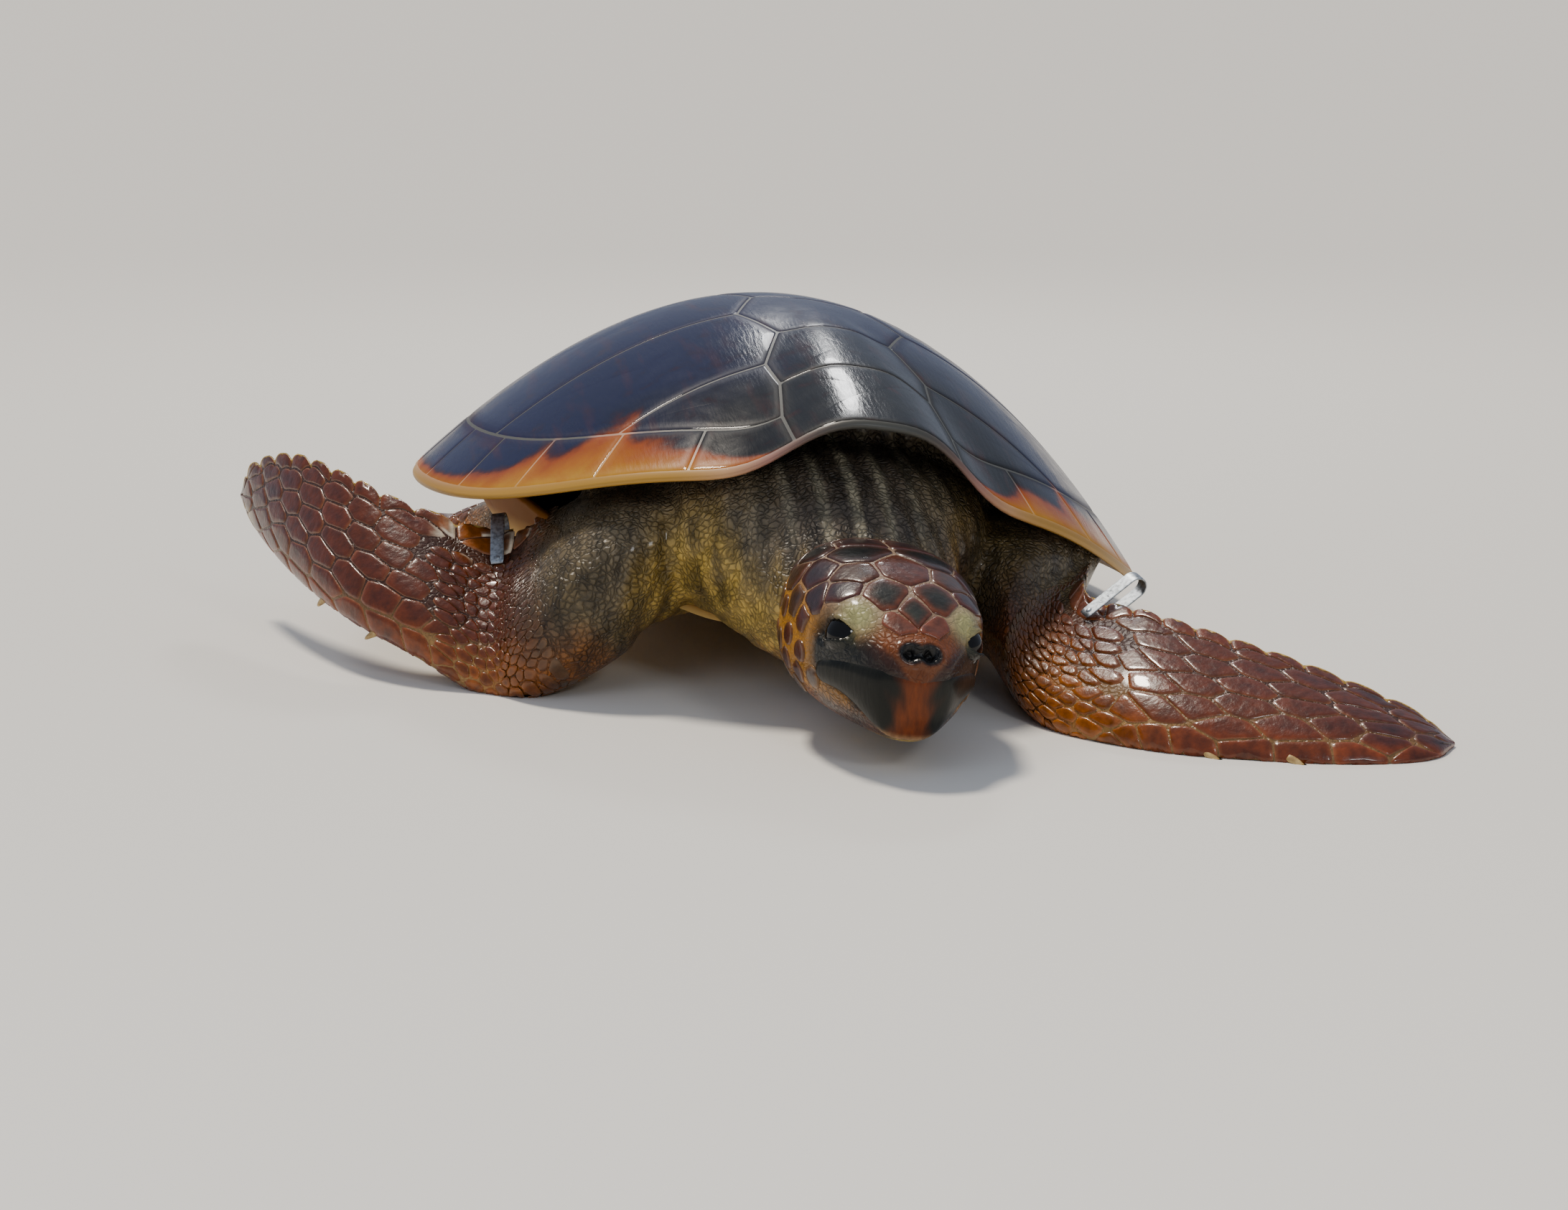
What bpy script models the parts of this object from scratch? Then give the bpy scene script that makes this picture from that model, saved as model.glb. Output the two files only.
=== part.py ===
"""Loggerhead turtle crawling, life size: one closed solid for each part of the body.

Metres, +Z up. The floor is z = 0, the head points along -Y and the turtle's left is +X.
The body is tilted as a whole, so the shell is worked out level and then turned.
"""

import math

import bmesh
import bpy
import numpy as np
from mathutils import Matrix

GAP = 0.0004  # between neighbouring solids

# Shell, before the body is tilted
SHELL_LENGTH = 0.66
SHELL_WIDTH = 0.524
SHELL_FULLNESS = 0.03  # how much wider the front half is than the rear half
RIM_HEIGHT = 0.071
NUCHAL_RISE = 0.043
NUCHAL_SPREAD = 0.25  # radians either side of the midline
SHOULDER_RISE = 0.060
SHOULDER_SPREAD = 0.85
RISE_BLEND = 2.2  # power by which the raised front edge fades towards the crown
DOME_RISE = 0.163
DOME_POWER = 2.0
CARAPACE_THICKNESS = 0.010
RIM_THICKNESS = 0.006
BELLY_HEIGHT = 0.0145
BELLY_CROWN = 0.010
PLASTRON_THICKNESS = 0.008
BODY_PITCH = math.radians(3.0)  # front up
BODY_ROLL = math.radians(9.0)  # left side down

# Head, along its own axis from the nape to the beak
HEAD_BACK = (0.010, -0.338, 0.076)
HEAD_LENGTH = 0.170
HEAD_PITCH = math.radians(-7.0)
HEAD_ROLL = math.radians(8.0)  # left side down
EYE_RADIUS = 0.0135
EYE_ALONG = 0.70  # share of the head's length
EYE_OUT = 0.036
EYE_UP = 0.015

AROUND_SHELL = 40
AROUND_LIMB = 14


def clear_scene():
    for item in list(bpy.data.objects):
        bpy.data.objects.remove(item, do_unlink=True)


def collection(name):
    group = bpy.data.collections.new(name)
    bpy.context.scene.collection.children.link(group)
    return group


clear_scene()
TURTLE = collection("loggerhead_turtle")
CUTTERS = collection("cutters")
CUTTERS.hide_render = True


def finish(name, colour, roughness, metallic=0.0):
    made = bpy.data.materials.new(name)
    made.use_nodes = True
    shader = made.node_tree.nodes["Principled BSDF"]
    shader.inputs["Base Color"].default_value = (*colour, 1.0)
    shader.inputs["Roughness"].default_value = roughness
    shader.inputs["Metallic"].default_value = metallic
    return made


def closed_object(name, points, faces, material=None):
    """A closed mesh with its faces turned outward; without a material it is a cutter."""
    mesh = bpy.data.meshes.new(name)
    mesh.from_pydata([tuple(p) for p in points], [], faces)
    work = bmesh.new()
    work.from_mesh(mesh)
    bmesh.ops.recalc_face_normals(work, faces=work.faces)
    if work.calc_volume(signed=True) < 0:
        bmesh.ops.reverse_faces(work, faces=work.faces)
    bmesh.ops.triangulate(work, faces=work.faces)
    work.to_mesh(mesh)
    work.free()
    made = bpy.data.objects.new(name, mesh)
    if material is None:
        CUTTERS.objects.link(made)
        made.hide_render = True
        made.display_type = "WIRE"
    else:
        mesh.materials.append(material)
        mesh.shade_smooth()
        TURTLE.objects.link(made)
    return made


def loft(name, rings, material=None):
    """Skin over closed rings, shape (rings, points, 3), with a fan to a pole at each end."""
    rings = np.asarray(rings)
    count, around = rings.shape[:2]
    poles = [rings[0].mean(axis=0), rings[-1].mean(axis=0)]
    points = np.vstack([rings.reshape(-1, 3), poles])
    step = [(i, (i + 1) % around) for i in range(around)]
    faces = [
        (r * around + a, r * around + b, (r + 1) * around + b, (r + 1) * around + a)
        for r in range(count - 1)
        for a, b in step
    ]
    last = (count - 1) * around
    faces += [(b, a, count * around) for a, b in step]
    faces += [(last + a, last + b, count * around + 1) for a, b in step]
    return closed_object(name, points, faces, material)


def smooth(rows, count):
    """Rows of numbers run through by a Catmull-Rom curve and read at count even steps."""
    rows = np.asarray(rows, float)
    padded = np.vstack([2 * rows[0] - rows[1], rows, 2 * rows[-1] - rows[-2]])
    where = np.linspace(0, len(rows) - 1, count)
    first = np.minimum(where.astype(int), len(rows) - 2)
    t = (where - first)[:, None]
    a, b, c, d = (padded[first + k] for k in range(4))
    return 0.5 * (2 * b + (c - a) * t + (2 * a - 5 * b + 4 * c - d) * t**2 + (3 * b - a - 3 * c + d) * t**3)


def unit(vectors):
    return vectors / np.linalg.norm(vectors, axis=-1, keepdims=True)


def on_floor(points, level=0.0):
    """Whatever would sink below the floor, or a level above it, becomes a small flat there."""
    points = np.array(points)
    points[..., 2] = np.maximum(points[..., 2], level)
    return points


# Cutting one solid to its neighbours


def applied(target):
    """The object's mesh with its modifiers applied, keeping only the largest piece."""
    graph = bpy.context.evaluated_depsgraph_get()
    mesh = bpy.data.meshes.new_from_object(target.evaluated_get(graph))
    target.modifiers.clear()
    target.data = mesh
    work = bmesh.new()
    work.from_mesh(mesh)
    left = set(work.faces)
    pieces = []
    while left:
        front = [left.pop()]
        piece = list(front)
        while front:
            near = {f for e in front.pop().edges for f in e.link_faces} & left
            left -= near
            front += near
            piece += near
        pieces.append(piece)
    keep = max(pieces, key=lambda piece: sum(face.calc_area() for face in piece))
    crumbs = [face for piece in pieces if piece is not keep for face in piece]
    bmesh.ops.delete(work, geom=crumbs, context="FACES")
    work.to_mesh(mesh)
    work.free()


def combine(target, other, operation):
    modifier = target.modifiers.new(operation.lower(), "BOOLEAN")
    modifier.operation = operation
    modifier.object = other
    bpy.context.view_layer.update()
    applied(target)


def grown(source, by=GAP):
    """A cutter: the solid with every point moved out along its normal."""
    made = bpy.data.objects.new(source.name + "_grown", source.data.copy())
    CUTTERS.objects.link(made)
    made.hide_render = True
    made.display_type = "WIRE"
    work = bmesh.new()
    work.from_mesh(made.data)
    work.normal_update()
    for vertex in work.verts:
        vertex.co += vertex.normal * by
    work.to_mesh(made.data)
    work.free()
    return made


def cut_away(target, *rooms):
    """Takes from a solid the room of each neighbour: its form before cutting, grown by the gap."""
    for room in rooms:
        combine(target, room, "DIFFERENCE")


def split(whole, name, at, normal):
    """Parts a solid at a plane: whole keeps the near side, and the far side becomes a new node."""
    at, normal = np.array(at), unit(np.array(normal))
    far = bpy.data.objects.new(name, whole.data.copy())
    TURTLE.objects.link(far)
    for piece, side in ((whole, 1), (far, -1)):
        work = bmesh.new()
        work.from_mesh(piece.data)
        bmesh.ops.bisect_plane(
            work,
            geom=[*work.verts, *work.edges, *work.faces],
            plane_co=at - side * normal * GAP / 2,
            plane_no=side * normal,
            clear_outer=True,
        )
        rim = [edge for edge in work.edges if edge.is_boundary]
        bmesh.ops.triangle_fill(work, edges=rim, use_beauty=True)
        bmesh.ops.recalc_face_normals(work, faces=work.faces)
        work.to_mesh(piece.data)
        work.free()
    return far


# Shell and trunk


def turned(first, second, angle):
    """Two coordinates turned by an angle in their own plane."""
    cosine, sine = math.cos(angle), math.sin(angle)
    return first * cosine + second * sine, second * cosine - first * sine


def tilted(points):
    """Turns the level body: front up by the pitch, left side down by the roll."""
    x, y, z = np.moveaxis(np.asarray(points), -1, 0)
    y, z = turned(y, z, BODY_PITCH)
    x, z = turned(x, z, BODY_ROLL)
    return np.stack([x, y, z], axis=-1)


TURN = np.linspace(0, 2 * math.pi, AROUND_SHELL, endpoint=False)  # 0 at the nuchal, on to the left side


def outline(turn):
    """Half breadths of the shell's edge seen from above: an oval, fuller in front."""
    across = SHELL_WIDTH / 2 * np.sin(turn) * (1 + SHELL_FULLNESS * np.cos(turn))
    along = -SHELL_LENGTH / 2 * np.cos(turn)
    return across, along


def rim_height(turn):
    """The edge arches over the neck, stands a little over the shoulders and is level behind."""
    away = np.minimum(turn, 2 * math.pi - turn)
    arch = NUCHAL_RISE * np.exp(-((away / NUCHAL_SPREAD) ** 3))
    shoulder = SHOULDER_RISE * np.exp(-((away / SHOULDER_SPREAD) ** 3))
    return RIM_HEIGHT + arch + shoulder


def shell_ring(share, inset=0.0, drop=0.0):
    """A ring of the dome at a share of its radius, drawn in and lowered for the inner faces."""
    across, along = outline(TURN)
    reach = np.hypot(across, along)
    scale = np.maximum(share - inset / reach, 0.02)
    edge = rim_height(TURN) - RIM_HEIGHT
    height = RIM_HEIGHT + edge * share**RISE_BLEND + DOME_RISE * (1 - share**DOME_POWER) - drop
    return np.stack([across * scale, along * scale, height], axis=-1)


INNER_SHARES = (0.90, 0.80, 0.66, 0.48, 0.24)


def build_carapace(material):
    outer = [shell_ring(s) for s in (0.12, 0.3, 0.46, 0.6, 0.72, 0.82, 0.9, 0.96, 0.99, 1.0)]
    lip = [shell_ring(1.0, 0.001, RIM_THICKNESS), shell_ring(0.96, 0.001, RIM_THICKNESS + 0.001)]
    inner = [shell_ring(s, CARAPACE_THICKNESS / 2, CARAPACE_THICKNESS) for s in INNER_SHARES]
    return loft("carapace", tilted(outer + lip + inner), material)


def bridge(turn):
    """1 along the flanks, where the plastron rises to the carapace, and 0 at front and rear."""
    return np.clip(1.25 * np.sin(turn) ** 2 - 0.15, 0, 1) ** 1.5


def plastron_ring(share, lift):
    across, along = outline(TURN)
    flank = bridge(TURN)
    scale = share * (1 - 0.10 * (1 - flank))
    under = shell_ring(0.88, 0, CARAPACE_THICKNESS)[:, 2] - 3 * GAP
    rise = max(share - 0.62, 0) / 0.26
    height = BELLY_HEIGHT + BELLY_CROWN * share**2 + lift
    height = height + (under - BELLY_HEIGHT - BELLY_CROWN - 0.008) * flank * rise**1.6
    return np.stack([across * scale, along * scale, height], axis=-1)


PLASTRON_SHARES = (0.22, 0.44, 0.64, 0.76, 0.83)


def build_plastron(material):
    outer = [plastron_ring(s, 0) for s in (*PLASTRON_SHARES, 0.88)]
    inner = [plastron_ring(s - 0.015, PLASTRON_THICKNESS) for s in (0.88, *PLASTRON_SHARES[::-1])]
    inside = on_floor(tilted(inner), PLASTRON_THICKNESS / 2)
    return loft("plastron", np.concatenate([on_floor(tilted(outer)), inside]), material)


def build_trunk(material):
    inset = CARAPACE_THICKNESS / 2 + 0.002
    top = [shell_ring(s, inset, CARAPACE_THICKNESS + 0.001) for s in INNER_SHARES[:0:-1]]
    low = [plastron_ring(s - 0.015, PLASTRON_THICKNESS + 3 * GAP) for s in PLASTRON_SHARES[::-1]]
    return loft("trunk", on_floor(tilted(top + low), PLASTRON_THICKNESS / 2 + 3 * GAP), material)


# Limbs


def limb(name, stations, material, steps):
    """A limb through stations of leading edge (x, y, z), trailing edge (x, y, z) and thickness.

    Each section is a flat oval across the chord, fuller towards the leading edge.
    """
    rows = smooth(stations, steps)
    lead, trail, thick = rows[:, :3], rows[:, 3:6], rows[:, 6]
    middle = (lead + trail) / 2
    along = unit(np.gradient(middle, axis=0))
    chord = trail - lead
    normal = unit(np.cross(along, chord))
    turn = np.linspace(0, 2 * math.pi, AROUND_LIMB, endpoint=False)
    across = -np.cos(turn)
    bulge = np.sign(np.sin(turn)) * np.abs(np.sin(turn)) ** 1.1 * (1 - 0.75 * across)
    rings = (
        middle[:, None]
        + chord[:, None] * across[None, :, None] / 2
        + normal[:, None] * (thick[:, None] / 2 * bulge[None])[..., None]
    )
    return loft(name, on_floor(rings), material)


def edge_frame(stations, where):
    """Leading and trailing edge at a fractional station, and the way on towards the tip."""
    fine = 8
    rows = smooth(stations, fine * (len(stations) - 1) + 1)
    at = int(fine * where)
    middle = (rows[:, :3] + rows[:, 3:6]) / 2
    return rows[at, :3], rows[at, 3:6], middle[at + 2] - middle[at - 2]


# Key stations: leading edge, trailing edge, thickness
RIGHT_FORELIMB = (
    (-0.060, -0.235, 0.080, -0.050, -0.100, 0.120, 0.080),
    (-0.128, -0.270, 0.060, -0.120, -0.145, 0.126, 0.082),
    (-0.176, -0.266, 0.018, -0.165, -0.140, 0.108, 0.062),
    (-0.214, -0.238, -0.003, -0.200, -0.132, 0.092, 0.029),
    (-0.264, -0.198, 0.018, -0.264, -0.120, 0.112, 0.026),
    (-0.305, -0.145, 0.034, -0.300, -0.085, 0.126, 0.020),
    (-0.336, -0.065, 0.049, -0.335, -0.020, 0.131, 0.016),
    (-0.358, 0.020, 0.066, -0.362, 0.042, 0.114, 0.011),
    (-0.368, 0.064, 0.084, -0.369, 0.066, 0.090, 0.004),
)
LEFT_FORELIMB = (
    (0.070, -0.200, 0.060, 0.150, -0.090, 0.090, 0.070),
    (0.100, -0.280, 0.045, 0.222, -0.168, 0.086, 0.082),
    (0.110, -0.350, 0.008, 0.188, -0.243, 0.076, 0.056),
    (0.132, -0.412, -0.003, 0.168, -0.312, 0.070, 0.030),
    (0.175, -0.462, -0.003, 0.194, -0.358, 0.068, 0.026),
    (0.225, -0.492, -0.003, 0.234, -0.392, 0.058, 0.020),
    (0.280, -0.512, -0.002, 0.284, -0.426, 0.043, 0.016),
    (0.330, -0.512, -0.002, 0.336, -0.460, 0.022, 0.011),
    (0.358, -0.482, 0.000, 0.358, -0.474, 0.004, 0.004),
)
HIND_LIMB = (
    (0.150, 0.150, 0.040, 0.080, 0.175, 0.045, 0.050),
    (0.195, 0.215, 0.022, 0.110, 0.255, 0.030, 0.040),
    (0.228, 0.275, 0.004, 0.130, 0.315, 0.012, 0.024),
    (0.245, 0.345, 0.001, 0.150, 0.375, 0.006, 0.014),
    (0.232, 0.400, 0.001, 0.178, 0.405, 0.004, 0.009),
    (0.212, 0.420, 0.001, 0.200, 0.420, 0.002, 0.004),
)


def mirrored(stations):
    flip = np.array([-1, 1, 1, -1, 1, 1, 1])
    return np.array(stations) * flip


def tube(name, stations, material, steps, around=AROUND_LIMB):
    """A round form through stations of centre (x, y, z), half breadth and half height."""
    rows = smooth(stations, steps)
    centre, wide, high = rows[:, :3], rows[:, 3], rows[:, 4]
    along = unit(np.gradient(centre, axis=0))
    side = np.array([1.0, 0.0, 0.0])
    up = unit(np.cross(side, along))
    up *= np.sign(up[:, 2:])
    turn = np.linspace(0, 2 * math.pi, around, endpoint=False)
    rings = (
        centre[:, None]
        + side * (wide[:, None] * np.cos(turn)[None])[..., None]
        + up[:, None] * (high[:, None] * np.sin(turn)[None])[..., None]
    )
    return loft(name, on_floor(rings), material)


# Neck: centre, half breadth, half height
NECK = (
    (0.000, -0.180, 0.106, 0.125, 0.064),
    (0.003, -0.250, 0.099, 0.112, 0.068),
    (0.006, -0.300, 0.083, 0.082, 0.066),
    (0.010, -0.345, 0.071, 0.058, 0.050),
    (0.010, -0.375, 0.068, 0.050, 0.042),
)
TAIL = (
    (0.000, 0.215, 0.050, 0.030, 0.018),
    (0.000, 0.270, 0.040, 0.022, 0.016),
    (0.000, 0.315, 0.026, 0.013, 0.011),
    (0.000, 0.345, 0.016, 0.004, 0.004),
)

# Head


def head_place(along, out, up):
    """From the head's own axis (share of length, metres out to the left, metres up) to the body."""
    forward, out, up = np.asarray(along) * HEAD_LENGTH, np.asarray(out), np.asarray(up)
    out, up = turned(out, up, HEAD_ROLL)
    y = HEAD_BACK[1] - forward * math.cos(HEAD_PITCH) + up * math.sin(HEAD_PITCH)
    z = HEAD_BACK[2] + forward * math.sin(HEAD_PITCH) + up * math.cos(HEAD_PITCH)
    return np.stack(np.broadcast_arrays(HEAD_BACK[0] + out, y, z), axis=-1)


# Share of the length, half breadth, height above the axis, depth below it
HEAD = (
    (0.00, 0.048, 0.042, 0.046),
    (0.14, 0.058, 0.049, 0.050),
    (0.34, 0.062, 0.053, 0.051),
    (0.54, 0.057, 0.051, 0.048),
    (0.70, 0.048, 0.044, 0.044),
    (0.84, 0.036, 0.034, 0.040),
    (0.94, 0.025, 0.026, 0.036),
    (1.00, 0.013, 0.013, 0.029),
)
BROW = 0.004


def build_head(material):
    """Flat-topped oval sections, with a swelling over each eye."""
    rows = smooth(HEAD, 16)
    turn = np.linspace(0, 2 * math.pi, 24, endpoint=False)
    cosine, sine = np.cos(turn), np.sin(turn)
    square = 2 / 2.5
    across = np.sign(cosine) * np.abs(cosine) ** square
    rise = np.sign(sine) * np.abs(sine) ** square
    tall = np.where(sine[None] > 0, rows[:, 2:3], rows[:, 3:4])
    swell = np.exp(-(((rows[:, :1] - EYE_ALONG) / 0.10) ** 2)) * np.exp(-(((sine[None] - 0.6) / 0.3) ** 2))
    out = rows[:, 1:2] * across[None] + BROW * swell * np.sign(cosine)
    up = tall * rise[None] + BROW / 2 * swell
    return loft("head", on_floor(head_place(rows[:, :1], out, up)), material)


def prism(name, corners):
    """A cutter through the whole breadth of the head: corners are (share of length, up)."""
    half = 0.1
    near = [head_place(a, -half, u) for a, u in corners]
    far = [head_place(a, half, u) for a, u in corners]
    count = len(corners)
    faces = [tuple(range(count)), tuple(range(2 * count - 1, count - 1, -1))]
    faces += [(i, i + count, (i + 1) % count + count, (i + 1) % count) for i in range(count)]
    return closed_object(name, near + far, faces)


def part_off(whole, name, corners, material):
    """Takes the piece inside the prism from the whole as a new node, with the gap between them."""
    piece = bpy.data.objects.new(name, whole.data.copy())
    TURTLE.objects.link(piece)
    piece.data.materials.clear()
    piece.data.materials.append(material)
    cutter = prism(name + "_cutter", corners)
    combine(piece, cutter, "INTERSECT")
    combine(whole, grown(cutter), "DIFFERENCE")
    return piece


MOUTH = ((1.10, -0.022), (0.90, -0.021), (0.76, -0.014), (0.60, -0.012), (0.46, -0.018))
JAW_BACK = ((0.40, -0.030), (0.24, -0.100), (1.10, -0.100))
LOWER_BEAK = ((0.70, 0.010), (0.70, -0.024), (0.80, -0.034), (0.90, -0.100), (1.10, -0.100), (1.10, 0.010))
UPPER_BEAK = ((0.72, -0.100), (0.72, 0.000), (0.80, 0.010), (0.92, 0.012), (1.10, 0.012), (1.10, -0.100))


def ball(name, centre, radius, material):
    bpy.ops.mesh.primitive_uv_sphere_add(segments=12, ring_count=8, radius=radius, location=centre)
    made = bpy.context.active_object
    made.name = name
    made.data.materials.append(material)
    made.data.shade_smooth()
    for group in made.users_collection:
        group.objects.unlink(made)
    TURTLE.objects.link(made)
    made.data.transform(made.matrix_world)
    made.location = (0, 0, 0)
    return made


# Claws and tags

CLAW_LENGTH = 0.015
CLAW_RADIUS = 0.0034
FORE_CLAWS = (4.5, 5.4)  # stations
HIND_CLAWS = (2.6, 3.3)


def claw(name, stations, where, material):
    """A bent cone on the leading edge at a fractional station, leaning towards the flipper's tip."""
    lead, trail, beyond = edge_frame(stations, where)
    outward = unit(lead - trail)
    heading = unit(0.55 * outward + 0.83 * unit(beyond))
    share = np.linspace(0, 1, 4)[:, None]
    centre = lead - outward * CLAW_RADIUS + heading * CLAW_LENGTH * share
    centre[:, 2] += CLAW_RADIUS - 0.002 * share[:, 0] ** 2
    side = unit(np.cross(heading, (0, 0, 1.0)))
    up = np.cross(side, heading)
    turn = np.linspace(0, 2 * math.pi, 6, endpoint=False)
    ring = side * np.cos(turn)[:, None] + up * np.sin(turn)[:, None]
    size = CLAW_RADIUS * (1 - 0.8 * share)
    return loft(name, on_floor(centre[:, None] + ring[None] * size[..., None]), material)


TAG_LEG = 0.038
TAG_WIDTH = 0.0095
TAG_SHEET = 0.0012


def tag(name, stations, where, reach, inner, skew, material):
    """A strip of sheet metal folded over a flipper's trailing edge: two straight legs and a bend.

    It sits at a fractional station. Its bend, of the given inner radius, stands out beyond the
    edge by the reach and leans towards the flipper's tip by the skew.
    """
    lead, trail, beyond = edge_frame(stations, where)
    inward = unit(lead - trail)
    normal = unit(np.cross(beyond, inward))
    inward = inward * math.cos(skew) + np.cross(inward, normal) * math.sin(skew)
    width = np.cross(inward, normal)
    bend_at = trail - inward * (reach - inner)
    turn = np.linspace(math.pi / 2, 3 * math.pi / 2, 9)
    bend = np.stack([np.cos(turn), np.sin(turn)], axis=-1)
    rings = []
    for side in (-1, 1):
        for radius in (inner, inner + TAG_SHEET)[::side]:
            run = np.vstack([(TAG_LEG, radius), bend * radius, (TAG_LEG, -radius)])
            path = bend_at + run[:, :1] * inward + run[:, 1:] * normal
            rings.append(path + side * width * TAG_WIDTH / 2)
    return loft(name, np.stack(rings, axis=1), material)


# The whole animal

HORN = finish("carapace_horn", (0.045, 0.032, 0.022), 0.2)
BELLY = finish("plastron_horn", (0.60, 0.42, 0.18), 0.4)
SKIN = finish("wet_skin", (0.17, 0.13, 0.06), 0.4)
SCALES = finish("flipper_scales", (0.16, 0.045, 0.02), 0.3)
FACE = finish("head_plates", (0.14, 0.07, 0.03), 0.3)
BEAK = finish("beak_horn", (0.09, 0.055, 0.02), 0.35)
EYE = finish("wet_eye", (0.006, 0.005, 0.004), 0.05)
CLAW = finish("claw_horn", (0.45, 0.33, 0.16), 0.4)
METAL = finish("tag_metal", (0.42, 0.45, 0.48), 0.35, 1.0)

carapace = build_carapace(HORN)
plastron = build_plastron(BELLY)
trunk = build_trunk(SKIN)
body_rooms = [grown(trunk), grown(carapace), grown(plastron)]

head = build_head(FACE)
head_room = grown(head)
eyes = [
    ball(f"eye_{side}", head_place(EYE_ALONG, sign * EYE_OUT, EYE_UP), EYE_RADIUS, EYE)
    for side, sign in (("left", 1), ("right", -1))
]
neck = tube("neck", NECK, SKIN, 9, around=20)
neck_room = grown(neck)
cut_away(neck, *body_rooms, head_room)
jaw = part_off(head, "lower_jaw", MOUTH + JAW_BACK, SKIN)
part_off(jaw, "lower_beak", LOWER_BEAK, BEAK)
part_off(head, "upper_beak", UPPER_BEAK, BEAK)
cut_away(head, *[grown(eye) for eye in eyes])

for side, stations, wrist, heading, tag_seat in (
    ("right", RIGHT_FORELIMB, (-0.190, -0.195, 0.050), (-1.0, 0.15, -0.15), (3.0, 0.010, 0.0088, 0.0)),
    ("left", LEFT_FORELIMB, (0.150, -0.335, 0.036), (0.45, -0.9, -0.1), (3.5, 0.024, 0.0065, -0.85)),
):
    arm = limb(f"upper_arm_{side}", stations, SKIN, 21)
    for number, at in enumerate(FORE_CLAWS, 1):
        cut_away(claw(f"claw_fore_{side}_{number}", stations, at, CLAW), grown(arm))
    worn = tag(f"flipper_tag_{side}", stations, *tag_seat, METAL)
    cut_away(arm, *body_rooms, neck_room, head_room, grown(worn))
    flipper = split(arm, f"fore_flipper_{side}", wrist, heading)
    flipper.data.materials.clear()
    flipper.data.materials.append(SCALES)

for side, stations in (("left", HIND_LIMB), ("right", mirrored(HIND_LIMB))):
    hind = limb(f"hind_flipper_{side}", stations, SCALES, 14)
    for number, at in enumerate(HIND_CLAWS, 1):
        cut_away(claw(f"claw_hind_{side}_{number}", stations, at, CLAW), grown(hind))
    cut_away(hind, *body_rooms)

tail = tube("tail", TAIL, SKIN, 8)
cut_away(tail, *body_rooms)

# The origin lies on the floor under the middle of the whole
solids = list(TURTLE.objects)
corners = np.array([vertex.co for solid in solids for vertex in solid.data.vertices])
middle = (corners.min(axis=0) + corners.max(axis=0)) / 2
for solid in solids:
    solid.data.transform(Matrix.Translation((-middle[0], -middle[1], 0.0)))
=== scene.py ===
"""A life-size loggerhead turtle, resting with its head low and its front flippers spread."""

import math

import bpy
import numpy as np
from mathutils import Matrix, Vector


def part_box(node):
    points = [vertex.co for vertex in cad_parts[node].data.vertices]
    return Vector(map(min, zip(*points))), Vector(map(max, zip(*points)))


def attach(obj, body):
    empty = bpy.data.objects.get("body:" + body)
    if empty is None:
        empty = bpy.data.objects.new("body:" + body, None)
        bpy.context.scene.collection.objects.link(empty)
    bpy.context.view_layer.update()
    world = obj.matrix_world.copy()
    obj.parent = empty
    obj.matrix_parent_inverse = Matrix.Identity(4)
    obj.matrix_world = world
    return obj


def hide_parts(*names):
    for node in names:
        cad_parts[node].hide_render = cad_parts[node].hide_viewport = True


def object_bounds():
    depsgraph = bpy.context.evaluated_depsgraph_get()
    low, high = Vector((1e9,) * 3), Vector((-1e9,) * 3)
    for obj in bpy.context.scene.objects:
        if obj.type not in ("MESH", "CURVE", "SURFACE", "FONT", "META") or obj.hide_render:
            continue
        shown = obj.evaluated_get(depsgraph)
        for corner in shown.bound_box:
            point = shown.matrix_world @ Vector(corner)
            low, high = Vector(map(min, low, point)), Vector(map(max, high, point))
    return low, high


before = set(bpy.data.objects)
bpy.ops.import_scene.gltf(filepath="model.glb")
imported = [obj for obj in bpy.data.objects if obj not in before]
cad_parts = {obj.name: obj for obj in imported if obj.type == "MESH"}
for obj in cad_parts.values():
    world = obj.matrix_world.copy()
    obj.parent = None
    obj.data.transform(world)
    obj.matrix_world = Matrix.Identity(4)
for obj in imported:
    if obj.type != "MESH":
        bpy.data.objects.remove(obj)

CAD_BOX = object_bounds()


# The shell's bed: the bone under the horn plates, a shallow dome whose rim arches over the neck.
# It is sheathed in thin pale horn, and shows as fine seams between the plates and as the rounded
# edge all round. It is one closed lens: dome, rim and hollow underside.

SHELL_LENGTH = 0.66
SHELL_WIDTH = 0.524
SHELL_FULLNESS = 0.03
RIM_HEIGHT = 0.071
NUCHAL_RISE = 0.043
NUCHAL_SPREAD = 0.25
SHOULDER_RISE = 0.060
SHOULDER_SPREAD = 0.85
RISE_BLEND = 2.2
DOME_RISE = 0.163
BODY_PITCH = math.radians(3.0)
BODY_ROLL = math.radians(9.0)
SHELL_SHEET = 0.010  # bone and horn together
RIM_SHEET = 0.006
PLATE_DEPTH = 0.0007  # horn above the bed


def round_turn(count):
    """Angles evenly spaced round a full turn, the first at 0."""
    return np.linspace(0, 2 * math.pi, count, endpoint=False)


def turned(first, second, angle):
    """Two coordinates turned by an angle in their own plane."""
    cosine, sine = math.cos(angle), math.sin(angle)
    return first * cosine + second * sine, second * cosine - first * sine


def tilted(points):
    """The level body's points with the front pitched up and the left side rolled down."""
    x, y, z = np.moveaxis(points, -1, 0)
    y, z = turned(y, z, BODY_PITCH)
    x, z = turned(x, z, BODY_ROLL)
    return np.stack([x, y, z], axis=-1)


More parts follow.
